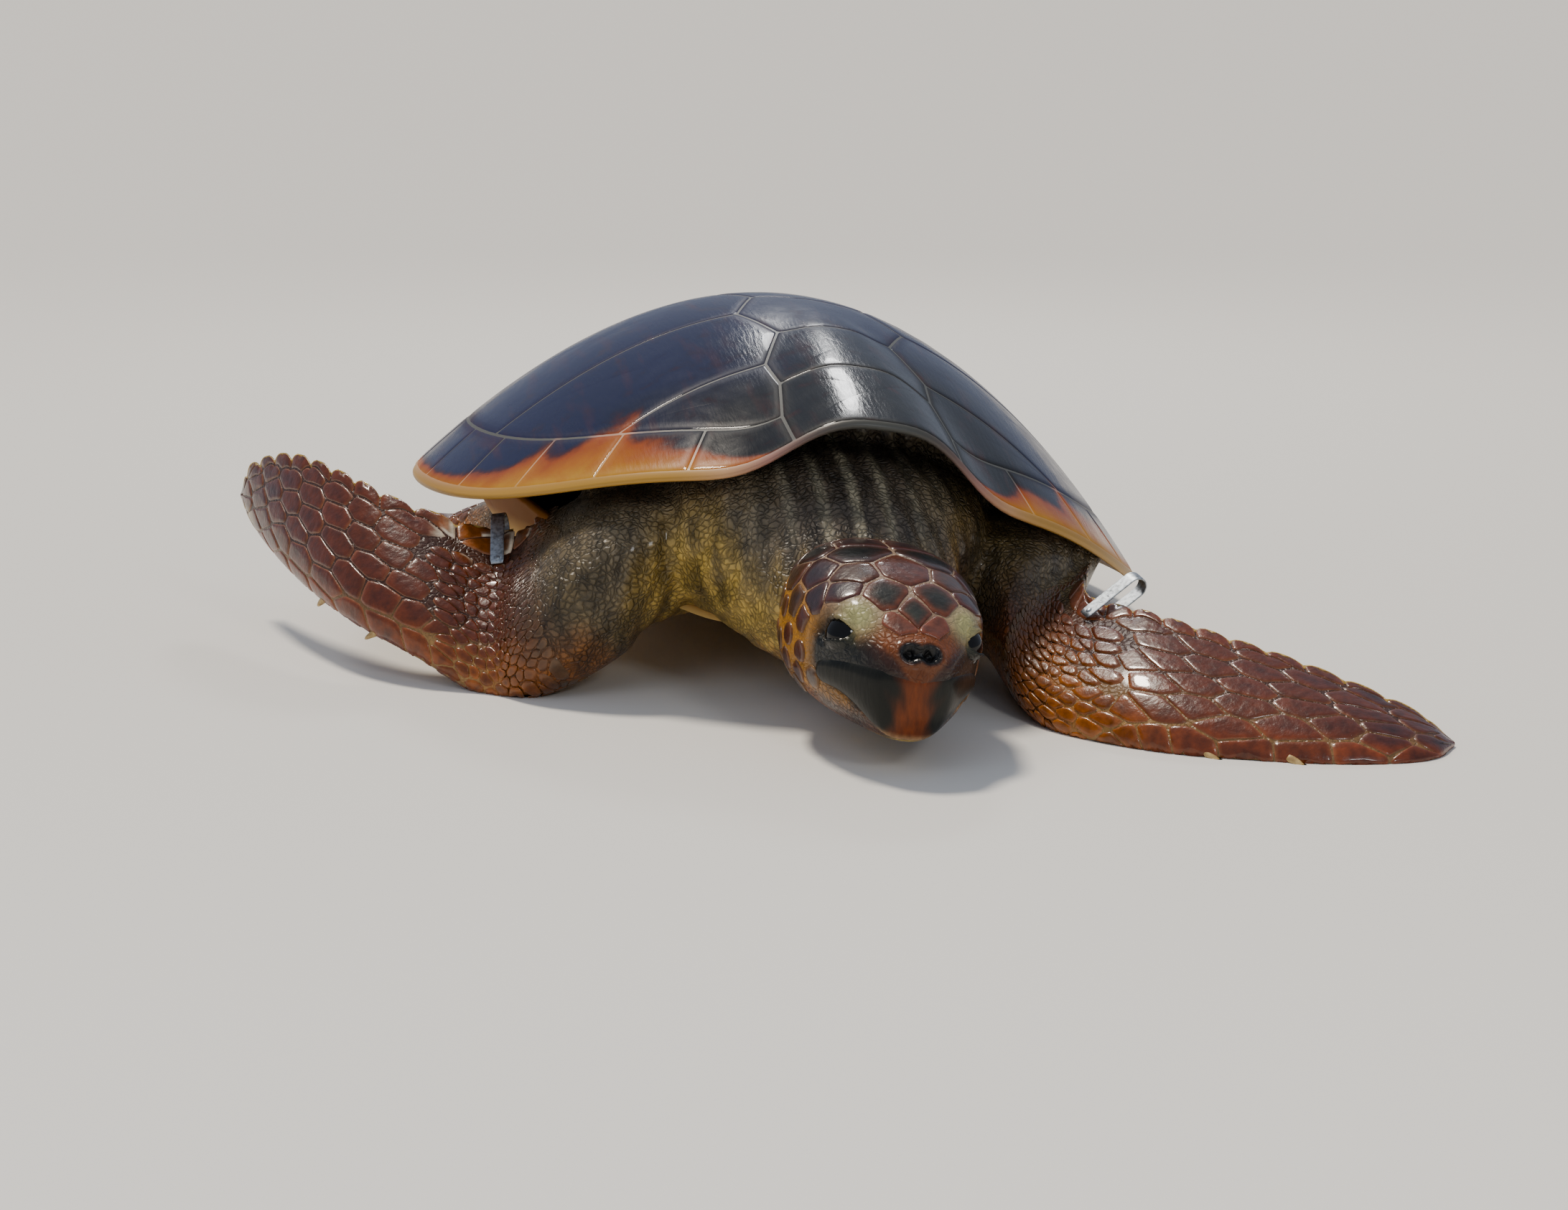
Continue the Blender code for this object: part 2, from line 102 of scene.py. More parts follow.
def outline(turn):
    """The oval edge: half breadth times sine, a little fuller in front, and half length times cosine."""
    across = SHELL_WIDTH / 2 * np.sin(turn) * (1 + SHELL_FULLNESS * np.cos(turn))
    return across, -SHELL_LENGTH / 2 * np.cos(turn)


def from_front(turn):
    """Radians away from the nuchal, on either side."""
    turn = np.mod(turn, 2 * math.pi)
    return np.minimum(turn, 2 * math.pi - turn)


def level_dome(share, turn, drop=0.0, inset=0.0):
    """The level dome: a parabola over the oval, its edge raised in front by two soft bells."""
    across, along = outline(turn)
    away = from_front(turn)
    edge = NUCHAL_RISE * np.exp(-((away / NUCHAL_SPREAD) ** 3))
    edge = edge + SHOULDER_RISE * np.exp(-((away / SHOULDER_SPREAD) ** 3))
    height = RIM_HEIGHT + edge * share**RISE_BLEND + DOME_RISE * (1 - share**2) - drop
    scale = np.maximum(share - inset / np.hypot(across, along), 0)
    return np.stack(np.broadcast_arrays(across * scale, along * scale, height), axis=-1)


rim = tilted(level_dome(1.0, round_turn(40)))
SHIFT = np.append(np.array(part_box("carapace")[0])[:2] - rim.min(axis=0)[:2], 0.0)


def grid_faces(rows, columns, closed=False, start=0):
    """Quads over a grid of points in rows, joined round from the last column to the first if closed."""
    r, c = np.meshgrid(np.arange(rows - 1), np.arange(columns if closed else columns - 1), indexing="ij")
    n = (c + 1) % columns
    quads = [r * columns + c, r * columns + n, (r + 1) * columns + n, (r + 1) * columns + c]
    return np.stack(quads, axis=-1).reshape(-1, 4) + start


def facing_out(points, faces):
    """A closed form's faces turned outwards, so that a . (b x c) summed over its triangles is positive."""
    fans = [part[:, (0, k, k + 1)] for part in faces for k in range(1, part.shape[1] - 1)]
    a, b, c = np.moveaxis(points[np.concatenate(fans)], 1, 0)
    if np.einsum("ij,ij->i", a, np.cross(b, c)).sum() > 0:
        return faces
    return [part[:, ::-1] for part in faces]


def closed_loft(rings):
    """Points and faces of a skin over closed rings, with a fan to a pole at each end."""
    count, around = rings.shape[:2]
    points = np.vstack([rings.reshape(-1, 3), rings[0].mean(axis=0), rings[-1].mean(axis=0)])
    a = np.arange(around)
    b = (a + 1) % around
    last = (count - 1) * around
    first_fan = np.stack([b, a, np.full(around, count * around)], axis=-1)
    last_fan = np.stack([last + a, last + b, np.full(around, count * around + 1)], axis=-1)
    return points, facing_out(points, [grid_faces(count, around, closed=True), first_fan, last_fan])


def make_mesh(name, points, faces):
    """A smooth-shaded mesh from an array of points and arrays of quads and triangles."""
    mesh = bpy.data.meshes.new(name)
    sizes = np.concatenate([np.full(len(part), part.shape[1]) for part in faces])
    corners = np.concatenate([part.ravel() for part in faces])
    mesh.vertices.add(len(points))
    mesh.vertices.foreach_set("co", np.ascontiguousarray(points, dtype=np.float32).ravel())
    mesh.loops.add(len(corners))
    mesh.loops.foreach_set("vertex_index", corners.astype(np.int32))
    mesh.polygons.add(len(sizes))
    mesh.polygons.foreach_set("loop_start", (np.cumsum(sizes) - sizes).astype(np.int32))
    mesh.polygons.foreach_set("use_smooth", np.ones(len(sizes), dtype=bool))
    mesh.update(calc_edges=True)
    return mesh


def make_piece(name, points, faces, finish, notes=None):
    """A finished object at the origin, with its material and any numbers noted on its points."""
    mesh = make_mesh(name, points, faces)
    made = bpy.data.objects.new(name, mesh)
    bpy.context.scene.collection.objects.link(made)
    mesh.materials.append(finish)
    for title, values in (notes or {}).items():
        kind = "FLOAT" if values.ndim == 1 else "FLOAT_COLOR"
        if kind == "FLOAT_COLOR":
            values = np.column_stack([values, np.ones(len(values))])
        field = mesh.attributes.new(title, kind, "POINT")
        field.data.foreach_set("value" if kind == "FLOAT" else "color", values.astype(np.float32).ravel())
    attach(made, "root")
    return made


def colour(code):
    """An sRGB hex value as linear red, green and blue."""
    parts = np.array([int(code[i : i + 2], 16) for i in (1, 3, 5)]) / 255
    return np.where(parts <= 0.04045, parts / 12.92, ((parts + 0.055) / 1.055) ** 2.4)


def add(tree, kind, inputs=None, stops=None, out=0, **settings):
    """Adds a node with its settings, links or sets its inputs, and gives the wanted output.

    A pattern's Scale is 1 over its real size in metres, which a comment beside it gives in mm.
    """
    made = tree.nodes.new("ShaderNode" + kind)
    for key, value in settings.items():
        setattr(made, key, value)
    for key, value in (inputs or {}).items():
        if isinstance(value, bpy.types.NodeSocket):
            tree.links.new(value, made.inputs[key])
        else:
            made.inputs[key].default_value = value
    if stops:
        ramp = made.color_ramp.elements
        while len(ramp) < len(stops):
            ramp.new(0.5)
        for element, (where, code) in zip(ramp, stops):
            element.position = where
            element.color = (*colour(code), 1.0)
    return made.outputs[out]


def new_finish(name, rough, coat=0.0, coat_rough=0.03, specular=0.5, metal=0.0):
    """A material, its node tree and its one shader, with the shader's own plain settings."""
    made = bpy.data.materials.new(name)
    made.use_nodes = True
    shader = made.node_tree.nodes["Principled BSDF"]
    sockets = ("Roughness", "Coat Weight", "Coat Roughness", "Specular IOR Level", "Metallic")
    for socket, value in zip(sockets, (rough, coat, coat_rough, specular, metal)):
        shader.inputs[socket].default_value = value
    return made, made.node_tree, shader


# Wet keratin: smooth grown horn under a film of water. It reads almost black by the neck and
# red-brown behind, and thins to amber at the rim over the shoulders. The violet blue over the back
# is a painted reflection of the sky, laid into the horn's own colour.
wet_horn, tree, shader = new_finish("wet_keratin", 0.25, coat=0.16, coat_rough=0.05, specular=0.14)
place = add(tree, "TexCoord", out="Object")
amber = add(tree, "Attribute", attribute_name="amber", out="Fac")
aft = add(tree, "Attribute", attribute_name="aft", out="Fac")
fray = add(tree, "TexNoise", {"Vector": place, "Scale": 60.0, "Detail": 5.0})  # 17 mm across
broad = add(tree, "TexNoise", {"Vector": place, "Scale": 9.0, "Detail": 3.0})  # 110 mm clouds
stretch = add(tree, "Mapping", {"Vector": place, "Scale": (90.0, 14.0, 30.0)})  # 11 by 70 mm streaks
streak = add(tree, "TexNoise", {"Vector": stretch, "Scale": 1.0, "Detail": 4.0})
frayed = add(tree, "Math", {0: fray, 1: 0.5, 2: amber}, operation="MULTIPLY_ADD")
paled = add(tree, "Math", {0: frayed, 1: 0.25}, operation="SUBTRACT")
edge_stops = [(0.0, "#a87a1c"), (0.3, "#9c5c08"), (0.62, "#8a3e04"), (0.80, "#481606"), (0.97, "#140c0a")]
edge_tone = add(tree, "ValToRGB", {"Fac": paled}, edge_stops)
# Painted sky reflection: the blue stops over the back stand for the sky mirrored in the wet horn; the
# near-black and red-brown stops are the horn's own colour.
sky = add(tree, "Math", {0: broad, 1: 0.25, 2: aft}, operation="MULTIPLY_ADD")
back_and_painted_sky_stops = [
    (0.10, "#14120a"), (0.25, "#0c0d12"), (0.36, "#0a0f32"),
    (0.55, "#10123a"), (0.68, "#1c0f20"), (0.84, "#3e1a0c"),
]
back_and_painted_sky_tone = add(tree, "ValToRGB", {"Fac": sky}, back_and_painted_sky_stops)
rust = add(tree, "MapRange", {0: streak, 1: 0.55, 2: 0.8, 3: 0.0, 4: 0.4})
rusted = {0: rust, 6: back_and_painted_sky_tone, 7: (*colour("#4a2018"), 1.0)}
back_and_painted_sky_tone = add(tree, "Mix", rusted, data_type="RGBA", out=2)
inner = add(tree, "MapRange", {0: paled, 1: 0.75, 2: 0.98})
whole = add(tree, "Mix", {0: inner, 6: edge_tone, 7: back_and_painted_sky_tone}, data_type="RGBA", out=2)
tree.links.new(whole, shader.inputs["Base Color"])
fine = add(tree, "TexNoise", {"Vector": stretch, "Scale": 5.0, "Detail": 3.0})  # 2 by 14 mm
smooth = add(tree, "MapRange", {0: fray, 3: 0.14, 4: 0.34})
edge = add(tree, "Attribute", attribute_name="edge", out="Fac")
rough = add(tree, "Mix", {0: edge, 2: smooth, 3: 0.75})
tree.links.new(rough, shader.inputs["Roughness"])
grain = add(tree, "Bump", {"Height": fine, "Strength": 0.12, "Distance": 0.002})
tree.links.new(grain, shader.inputs["Normal"])

# The same horn where it is thin and pale: in the seams and round the edge.
seam_horn, tree, shader = new_finish("pale_keratin", 0.5, coat=0.1, coat_rough=0.2)
amber = add(tree, "Attribute", attribute_name="amber", out="Fac")
seam_stops = [(0.0, "#a87c24"), (0.35, "#b88a5c"), (0.75, "#94685a"), (1.0, "#3c3c36")]
seam_tone = add(tree, "ValToRGB", {"Fac": amber}, seam_stops)
tree.links.new(seam_tone, shader.inputs["Base Color"])

NUCHAL_HALF_TURN = 0.21
MARGINALS = 12
AMBER_DEPTH = 0.045  # over the shoulders, beyond that all round the rim
AMBER_RIM = 0.008
AMBER_LEAST = 0.002


def amber_depth(turn):
    """How far in from the rim the amber reaches: widest over the shoulders, none over the neck.

    It licks up in a pointed flame at every seam between two marginals.
    """
    away = from_front(turn)
    right = np.mod(turn, 2 * math.pi) > math.pi
    shoulder = AMBER_DEPTH * np.exp(-(((away - 0.72) / 0.30) ** 2))
    neck = 1 - np.exp(-((away / 0.30) ** 4))
    side = np.where(right, 1.0, 0.75)
    seam = (away - NUCHAL_HALF_TURN) * MARGINALS / (math.pi - NUCHAL_HALF_TURN)
    flame = np.exp(-((np.abs(seam - np.round(seam)) / 0.12) ** 1.3))
    wave = 0.85 + 0.30 * np.sin(23 * turn) * np.sin(7 * turn + 1) + 0.55 * flame
    return np.maximum((AMBER_RIM + shoulder * side * wave) * neck, AMBER_LEAST)


def shell_notes(share, turn):
    """Amber: 0 at the rim and 1 where the dark horn begins. Aft: 0 at the nuchal, 1 far from it."""
    across, along = outline(turn)
    reach = np.hypot(across, along)
    inward = reach * (1 - share)
    aft = np.hypot(across * share, along * share + 0.30) / 0.84
    over_neck = np.exp(-((from_front(turn) / 0.36) ** 4))
    amber = np.maximum(np.clip(inward / amber_depth(turn), 0, 1), over_neck)
    return {"amber": amber, "aft": np.clip(aft, 0, 1)}


BED_TURNS = 240
LIP_INSET = 0.0022  # how far the rounded edge draws in
HOLLOW_INSET = 0.0045
HOLLOW_SHARES = [0.96, 0.90, 0.80, 0.66, 0.48, 0.24]  # the hollow underside, from the rim inwards
turn = round_turn(BED_TURNS)
out_shares = np.concatenate([np.linspace(0.03, 0.94, 46), [0.965, 0.985, 0.995]])
rings = [level_dome(share, turn, PLATE_DEPTH) for share in out_shares]
lip = np.linspace(0, math.pi, 7)[1:-1]
for angle in lip:  # the rim's rounded edge: half a circle of the rim's own thickness
    drop = PLATE_DEPTH + (RIM_SHEET - PLATE_DEPTH) / 2 * (1 - math.cos(angle))
    rings.append(level_dome(1.0, turn, drop, LIP_INSET * (1 - math.sin(angle))))
rings.append(level_dome(0.985, turn, RIM_SHEET + 0.0005))
for share in HOLLOW_SHARES:
    deep = min((1 - share) / 0.10, 1)
    sheet = RIM_SHEET + (SHELL_SHEET - RIM_SHEET) * deep
    rings.append(level_dome(share, turn, sheet, HOLLOW_INSET * deep))
shares = np.concatenate([out_shares, np.ones(len(lip)), [0.985], HOLLOW_SHARES])
points, faces = closed_loft(tilted(np.array(rings)) + SHIFT)
grid = np.broadcast_arrays(shares[:, None], turn)
notes = shell_notes(*(np.append(part.ravel(), [0, 0]) for part in grid))
shell_bed = make_piece("shell_bed", points, faces, seam_horn, notes)
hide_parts("carapace")


# The horn plates of the carapace: a broad nuchal, five vertebrals down the middle, five costals
# and twelve marginals a side. Each is a separate domed sheet with soft edges that grew on the bed.

MARGIN = 0.868  # share of the radius where the marginals begin
SEAM = 0.0010
EDGE_SHARE = 0.993  # where the plates end at the rim
VERTEBRAL_JOINS = (-0.228, -0.135, -0.026, 0.086, 0.190)  # level y of the seams across
VERTEBRAL_SIDES = (-0.190, -0.082, 0.030, 0.138, 0.232)  # level y of the side corners
JOIN_HALF = (0.052, 0.040, 0.041, 0.040, 0.036)
SIDE_HALF = (0.056, 0.060, 0.058, 0.052, 0.038)
COSTAL_TURNS = (0.40, 0.72, 1.26, 1.80, 2.32, 2.78)  # where the seams between costals meet the margin
FIRST_TURN = COSTAL_TURNS[0] * 0.62  # where nuchal, first costal and first marginal meet


def to_shell(x, y):
    """Share and turn of a level point: its angle on the oval, found twice for the fuller front."""
    wide = SHELL_WIDTH / 2
    turn = np.arctan2(x / wide, -y / (SHELL_LENGTH / 2))
    turn = np.arctan2(x / (wide * (1 + SHELL_FULLNESS * np.cos(turn))), -y / (SHELL_LENGTH / 2))
    turn = np.arctan2(x / (wide * (1 + SHELL_FULLNESS * np.cos(turn))), -y / (SHELL_LENGTH / 2))
    across, along = outline(turn)
    return np.hypot(x, y) / np.hypot(across, along), turn


def margin_point(turn, share=MARGIN):
    """Level x and y of a turn at a share of the way out, by default where the marginals begin."""
    across, along = outline(np.array(turn))
    return np.stack([across * share, along * share], axis=-1)


def plate_outlines():
    """Corner lists in level x and y, each edge sampled finely: the left side first, then its mirror."""
    rings = []
    tail_end = margin_point(np.linspace(COSTAL_TURNS[5], math.pi - 0.02, 6)).tolist()
    nuchal_front = margin_point(np.linspace(NUCHAL_HALF_TURN, -NUCHAL_HALF_TURN, 12), EDGE_SHARE)
    side = np.array([margin_point(FIRST_TURN), (JOIN_HALF[0], VERTEBRAL_JOINS[0])])
    rings.append(np.vstack([nuchal_front, side * (-1, 1), side[::-1]]))
    for k in range(5):
        half = [(JOIN_HALF[k], VERTEBRAL_JOINS[k]), (SIDE_HALF[k], VERTEBRAL_SIDES[k])]
        half += [(JOIN_HALF[k + 1], VERTEBRAL_JOINS[k + 1])] if k < 4 else tail_end
        half = np.array(half)
        rings.append(np.vstack([half, half[::-1] * (-1, 1)]))
    sides = []
    for k in range(5):
        inner = [(SIDE_HALF[k], VERTEBRAL_SIDES[k]), (JOIN_HALF[k], VERTEBRAL_JOINS[k])]
        if k:
            inner.append((SIDE_HALF[k - 1], VERTEBRAL_SIDES[k - 1]))
        outer = margin_point(np.linspace(COSTAL_TURNS[k] if k else FIRST_TURN, COSTAL_TURNS[k + 1], 10))
        sides.append(np.vstack([inner, outer]))
    ends = np.linspace(NUCHAL_HALF_TURN, math.pi, MARGINALS + 1)
    for k in range(MARGINALS):
        inner = margin_point(np.linspace(ends[k + 1], ends[k] if k else FIRST_TURN, 6))
        outer = margin_point(np.linspace(ends[k], ends[k + 1], 6), EDGE_SHARE)
        sides.append(np.vstack([inner, outer]))
    rings += [ring * (way, 1) for ring in sides for way in (1, -1)]
    return rings


def resampled(ring, count):
    """A closed outline read at even steps of its length."""
    closed = np.vstack([ring, ring[:1]])
    along = np.append(0, np.cumsum(np.linalg.norm(np.diff(closed, axis=0), axis=1)))
    steps = np.linspace(0, along[-1], count, endpoint=False)
    return np.stack([np.interp(steps, along, closed[:, k]) for k in (0, 1)], axis=-1)


PLATE_INSETS = (0, 0.0006, 0.0018, 0.0042, 0.0085)  # in from the seam's edge
PLATE_LIFTS = (-1.15, -0.66, -0.32, -0.10, 0)  # in plate depths
PLATE_CLEAR = 0.0001  # how far the plates' tops stay below the dome
CLOSING = (0.2, 0.42, 0.64, 0.84)  # shares of the way from the last inset to the plate's middle


def edge_distance(points, ring):
    """How far points lie from a closed outline: the least distance to any of its straight edges."""
    way = np.roll(ring, -1, axis=0) - ring
    rel = points[..., None, :] - ring
    along = np.clip((rel * way).sum(axis=-1) / (way**2).sum(axis=-1), 0, 1)
    return np.linalg.norm(rel - along[..., None] * way, axis=-1).min(axis=-1)


def horn_plate(ring, count=150):
    """A plate over an outline: rings close in on its middle, and it rounds down to the bed at its edge."""
    edge = resampled(ring, count)
    inward = edge.mean(axis=0) - edge
    far = np.linalg.norm(inward, axis=1, keepdims=True)
    inward = inward / far
    along = np.roll(edge, -1, axis=0) - np.roll(edge, 1, axis=0)
    along = sum(np.roll(along, k, axis=0) for k in (-1, 0, 1))
    along = along / np.linalg.norm(along, axis=1, keepdims=True)
    square = np.abs(along[:, :1] * inward[:, 1:] - along[:, 1:] * inward[:, :1])
    steps = [np.minimum((SEAM / 2 + inset) / np.maximum(square, 0.35), 0.45 * far) for inset in PLATE_INSETS]
    steps += [steps[-1] + (far - steps[-1]) * deep for deep in CLOSING]
    level = np.array([edge + inward * step for step in steps])
    share, turn = to_shell(level[..., 0], level[..., 1])
    lift = np.interp(edge_distance(level, edge) - SEAM / 2, PLATE_INSETS, PLATE_LIFTS)
    rings = level_dome(share, turn, PLATE_CLEAR - lift * PLATE_DEPTH)
    notes = shell_notes(share, turn)
    notes["edge"] = np.clip(-lift / 0.5, 0, 1)
    return rings, notes


def fan_closed(rings):
    """Points and faces of rings that shrink to a middle point, facing up: the rim is open on the bed."""
    count, around = rings.shape[:2]
    points = np.vstack([rings.reshape(-1, 3), rings[-1].mean(axis=0)])
    last = (count - 1) * around
    a = np.arange(around)
    fan = np.stack([last + a, last + (a + 1) % around, np.full(around, count * around)], axis=-1)
    faces = [grid_faces(count, around, closed=True), fan]
    first, second, third = np.moveaxis(points[fan], 1, 0)
    if np.cross(second - first, third - first)[:, 2].sum() < 0:
        faces = [part[:, ::-1] for part in faces]
    return points, faces


def joined(parts):
    """Several (points, faces) put together as one."""
    starts = np.cumsum([0] + [len(points) for points, _ in parts])
    points = np.vstack([points for points, _ in parts])
    return points, [face + start for (_, faces), start in zip(parts, starts) for face in faces]


plates = [horn_plate(ring) for ring in plate_outlines()]
points, faces = joined([fan_closed(tilted(rings) + SHIFT) for rings, _ in plates])
notes = {
    key: np.concatenate([np.append(field[key], field[key][-1].mean()) for _, field in plates])
    for key in ("amber", "aft", "edge")
}
horn_plates = make_piece("carapace_plates", points, faces, wet_horn, notes)


# The plastron: the pale yellow belly shell, flat and smooth, bent up at its flanks to the
# carapace, where they turn brown: partly their own tone, partly painted shade under the carapace's
# rim. A seam runs down its middle and six cross it.

BELLY_HEIGHT = 0.0145
BELLY_CROWN = 0.010
PLASTRON_SHEET = 0.008
GAP = 0.0004
BELLY_SEAMS = (-0.215, -0.135, -0.045, 0.035, 0.115, 0.195)
GROOVE = 0.0006
GROOVE_WIDTH = 0.0022
BELLY_SHARE = 0.88  # how far out the flanks meet the carapace, as a share of its radius
# The flanks' brown above this height is partly painted shade, darkening them where they rise under the
# carapace.
SHADED_BROWN_FROM = 0.038  # height at which the flanks turn brown
BROWN_AND_SHADE_DEPTH = 0.9  # how brown the flanks and the inner face are, as a share of the seams' tone


def flank(turn):
    """1 at the flanks, 0 in front and behind: the sine squared, stretched, and cut off at both ends."""
    return np.clip(1.25 * np.sin(turn) ** 2 - 0.15, 0, 1) ** 1.5


def level_belly(share, turn, lift=0.0):
    """The belly: nearly flat, narrower in front and behind, its flanks rising to the dome's underside."""
    side = flank(turn)
    across, along = outline(turn)
    scale = share * (1 - 0.10 * (1 - side))
    under = level_dome(BELLY_SHARE, turn, SHELL_SHEET)[..., 2] - 3 * GAP
    rise = np.maximum(share - 0.62, 0) / 0.26
    height = BELLY_HEIGHT + BELLY_CROWN * share**2 + lift
    height = height + (under - BELLY_HEIGHT - BELLY_CROWN - 0.008) * side * rise**1.6
    return np.stack(np.broadcast_arrays(across * scale, along * scale, height), axis=-1)


def above(points, level=0.0):
    """Points no lower than a level, so that what rests on the floor lies flat on it."""
    points = points.copy()
    points[..., 2] = np.maximum(points[..., 2], level)
    return points


# Smooth belly keratin: clouded straw-coloured horn, rubbed dull by the ground.
belly_horn, tree, shader = new_finish("smooth_belly_keratin", 0.6, specular=0.06)
place = add(tree, "TexCoord", out="Object")
cloud = add(tree, "TexNoise", {"Vector": place, "Scale": 14.0, "Detail": 4.0})  # 70 mm clouds
seam = add(tree, "Attribute", attribute_name="seam", out="Fac")
belly_stops = [(0.35, "#c79a52"), (0.6, "#dcb971"), (0.8, "#e3c88c")]
straw_tone = add(tree, "ValToRGB", {"Fac": cloud}, belly_stops)
grooves_and_flank_shade = {0: seam, 6: straw_tone, 7: (*colour("#7c440c"), 1.0)}
belly_tone = add(tree, "Mix", grooves_and_flank_shade, data_type="RGBA", out=2)
tree.links.new(belly_tone, shader.inputs["Base Color"])

turn = round_turn(260)
share = np.linspace(0.03, BELLY_SHARE, 90)[:, None]
level = level_belly(share, turn)
seam_gap = np.min([np.abs(level[..., 1] - y) for y in BELLY_SEAMS] + [np.abs(level[..., 0])], axis=0)
seam = np.exp(-((seam_gap / GROOVE_WIDTH) ** 2))
level[..., 2] += GROOVE * seam
# Painted shade, in part: the flanks turn brown as they rise into the gap under the carapace.
seam = np.maximum(seam, BROWN_AND_SHADE_DEPTH * np.clip((level[..., 2] - SHADED_BROWN_FROM) / 0.02, 0, 1))
inner = level_belly(share[::-3] - 0.015, turn, PLASTRON_SHEET)
rings = np.concatenate([above(tilted(level)), above(tilted(inner), PLASTRON_SHEET / 2)]) + SHIFT
points, faces = closed_loft(rings)
seam = np.append(seam.ravel(), np.full(len(points) - seam.size, BROWN_AND_SHADE_DEPTH))
plastron = make_piece("plastron_shell", points, faces, belly_horn, {"seam": seam})
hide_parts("plastron")


# The flesh: one skin over the trunk between the shells, the neck, four limbs and the tail. Each
# limb is a flat oval carried along its edges; together they are fused and softened where they meet.

SKIN_DEPTH = 0.0008  # scales lie over the skin by this much
VOXEL = 0.0034
HIDDEN_SHARE = 0.72  # within this share of the shell the flesh never shows
FLESH_CLEAR = 0.0004  # how far the limbs' and the neck's flesh stays above the floor
RIGHT_FORELIMB = (  # leading edge x, y, z, trailing edge x, y, z, thickness
    (-0.060, -0.235, 0.080, -0.050, -0.100, 0.120, 0.080),
    (-0.128, -0.270, 0.060, -0.120, -0.145, 0.126, 0.082),
    (-0.176, -0.266, 0.018, -0.165, -0.140, 0.108, 0.062),
    (-0.214, -0.238, -0.003, -0.200, -0.132, 0.092, 0.029),
    (-0.264, -0.198, 0.018, -0.264, -0.120, 0.112, 0.026),
    (-0.305, -0.145, 0.034, -0.300, -0.085, 0.126, 0.020),
    (-0.336, -0.065, 0.049, -0.335, -0.020, 0.131, 0.016),
    (-0.358, 0.020, 0.066, -0.362, 0.042, 0.114, 0.011),
    (-0.368, 0.064, 0.084, -0.369, 0.066, 0.090, 0.004),
)
LEFT_FORELIMB = (
    (0.070, -0.200, 0.060, 0.150, -0.090, 0.090, 0.070),
    (0.100, -0.280, 0.045, 0.222, -0.168, 0.086, 0.082),
    (0.110, -0.350, 0.008, 0.188, -0.243, 0.076, 0.056),
    (0.132, -0.412, -0.003, 0.168, -0.312, 0.070, 0.030),
    (0.175, -0.462, -0.003, 0.194, -0.358, 0.068, 0.026),
    (0.225, -0.492, -0.003, 0.234, -0.392, 0.058, 0.020),
    (0.280, -0.512, -0.002, 0.284, -0.426, 0.043, 0.016),
    (0.330, -0.512, -0.002, 0.336, -0.460, 0.022, 0.011),
    (0.358, -0.482, 0.000, 0.358, -0.474, 0.004, 0.004),
)
LEFT_HINDLIMB = (
    (0.150, 0.150, 0.040, 0.080, 0.175, 0.045, 0.050),
    (0.195, 0.215, 0.022, 0.110, 0.255, 0.030, 0.040),
    (0.228, 0.275, 0.004, 0.130, 0.315, 0.012, 0.024),
    (0.245, 0.345, 0.001, 0.150, 0.375, 0.006, 0.014),
    (0.232, 0.400, 0.001, 0.178, 0.405, 0.004, 0.009),
    (0.212, 0.420, 0.001, 0.200, 0.420, 0.002, 0.004),
)
RIGHT_HINDLIMB = np.array(LEFT_HINDLIMB) * (-1, 1, 1, -1, 1, 1, 1)
NECK = (  # centre x, y, z, half breadth, half height
    (0.000, -0.180, 0.106, 0.125, 0.064),
    (0.003, -0.250, 0.099, 0.112, 0.068),
    (0.006, -0.300, 0.083, 0.082, 0.066),
    (0.010, -0.345, 0.071, 0.058, 0.050),
    (0.010, -0.375, 0.068, 0.050, 0.042),
)
TAIL = (
    (0.000, 0.215, 0.050, 0.030, 0.018),
    (0.000, 0.270, 0.040, 0.022, 0.016),
    (0.000, 0.315, 0.026, 0.013, 0.011),
    (0.000, 0.345, 0.016, 0.004, 0.004),
)


def unit(vectors):
    """Vectors cut or stretched to a length of 1."""
    return vectors / np.maximum(np.linalg.norm(vectors, axis=-1, keepdims=True), 1e-12)


def curve(rows, where):
    """Rows of numbers run through by a Catmull-Rom curve and read at fractional row numbers."""
    rows = np.asarray(rows, float)
    padded = np.vstack([2 * rows[0] - rows[1], rows, 2 * rows[-1] - rows[-2]])
    first = np.clip(np.asarray(where).astype(int), 0, len(rows) - 2)
    t = (where - first)[..., None]
    a, b, c, d = (padded[first + k] for k in range(4))
    return 0.5 * (2 * b + (c - a) * t + (2 * a - 5 * b + 4 * c - d) * t**2 + (3 * b - a - 3 * c + d) * t**3)


def fade(value, low, high):
    """0 below low and 1 above high, smoothly."""
    t = np.clip((value - low) / (high - low), 0, 1)
    return t * t * (3 - 2 * t)


def bulge(angle):
    """Half thickness of a limb's section round its angle: full near the leading edge, thin behind."""
    return np.sign(np.sin(angle)) * np.abs(np.sin(angle)) ** 1.1 * (1 + 0.75 * np.cos(angle))


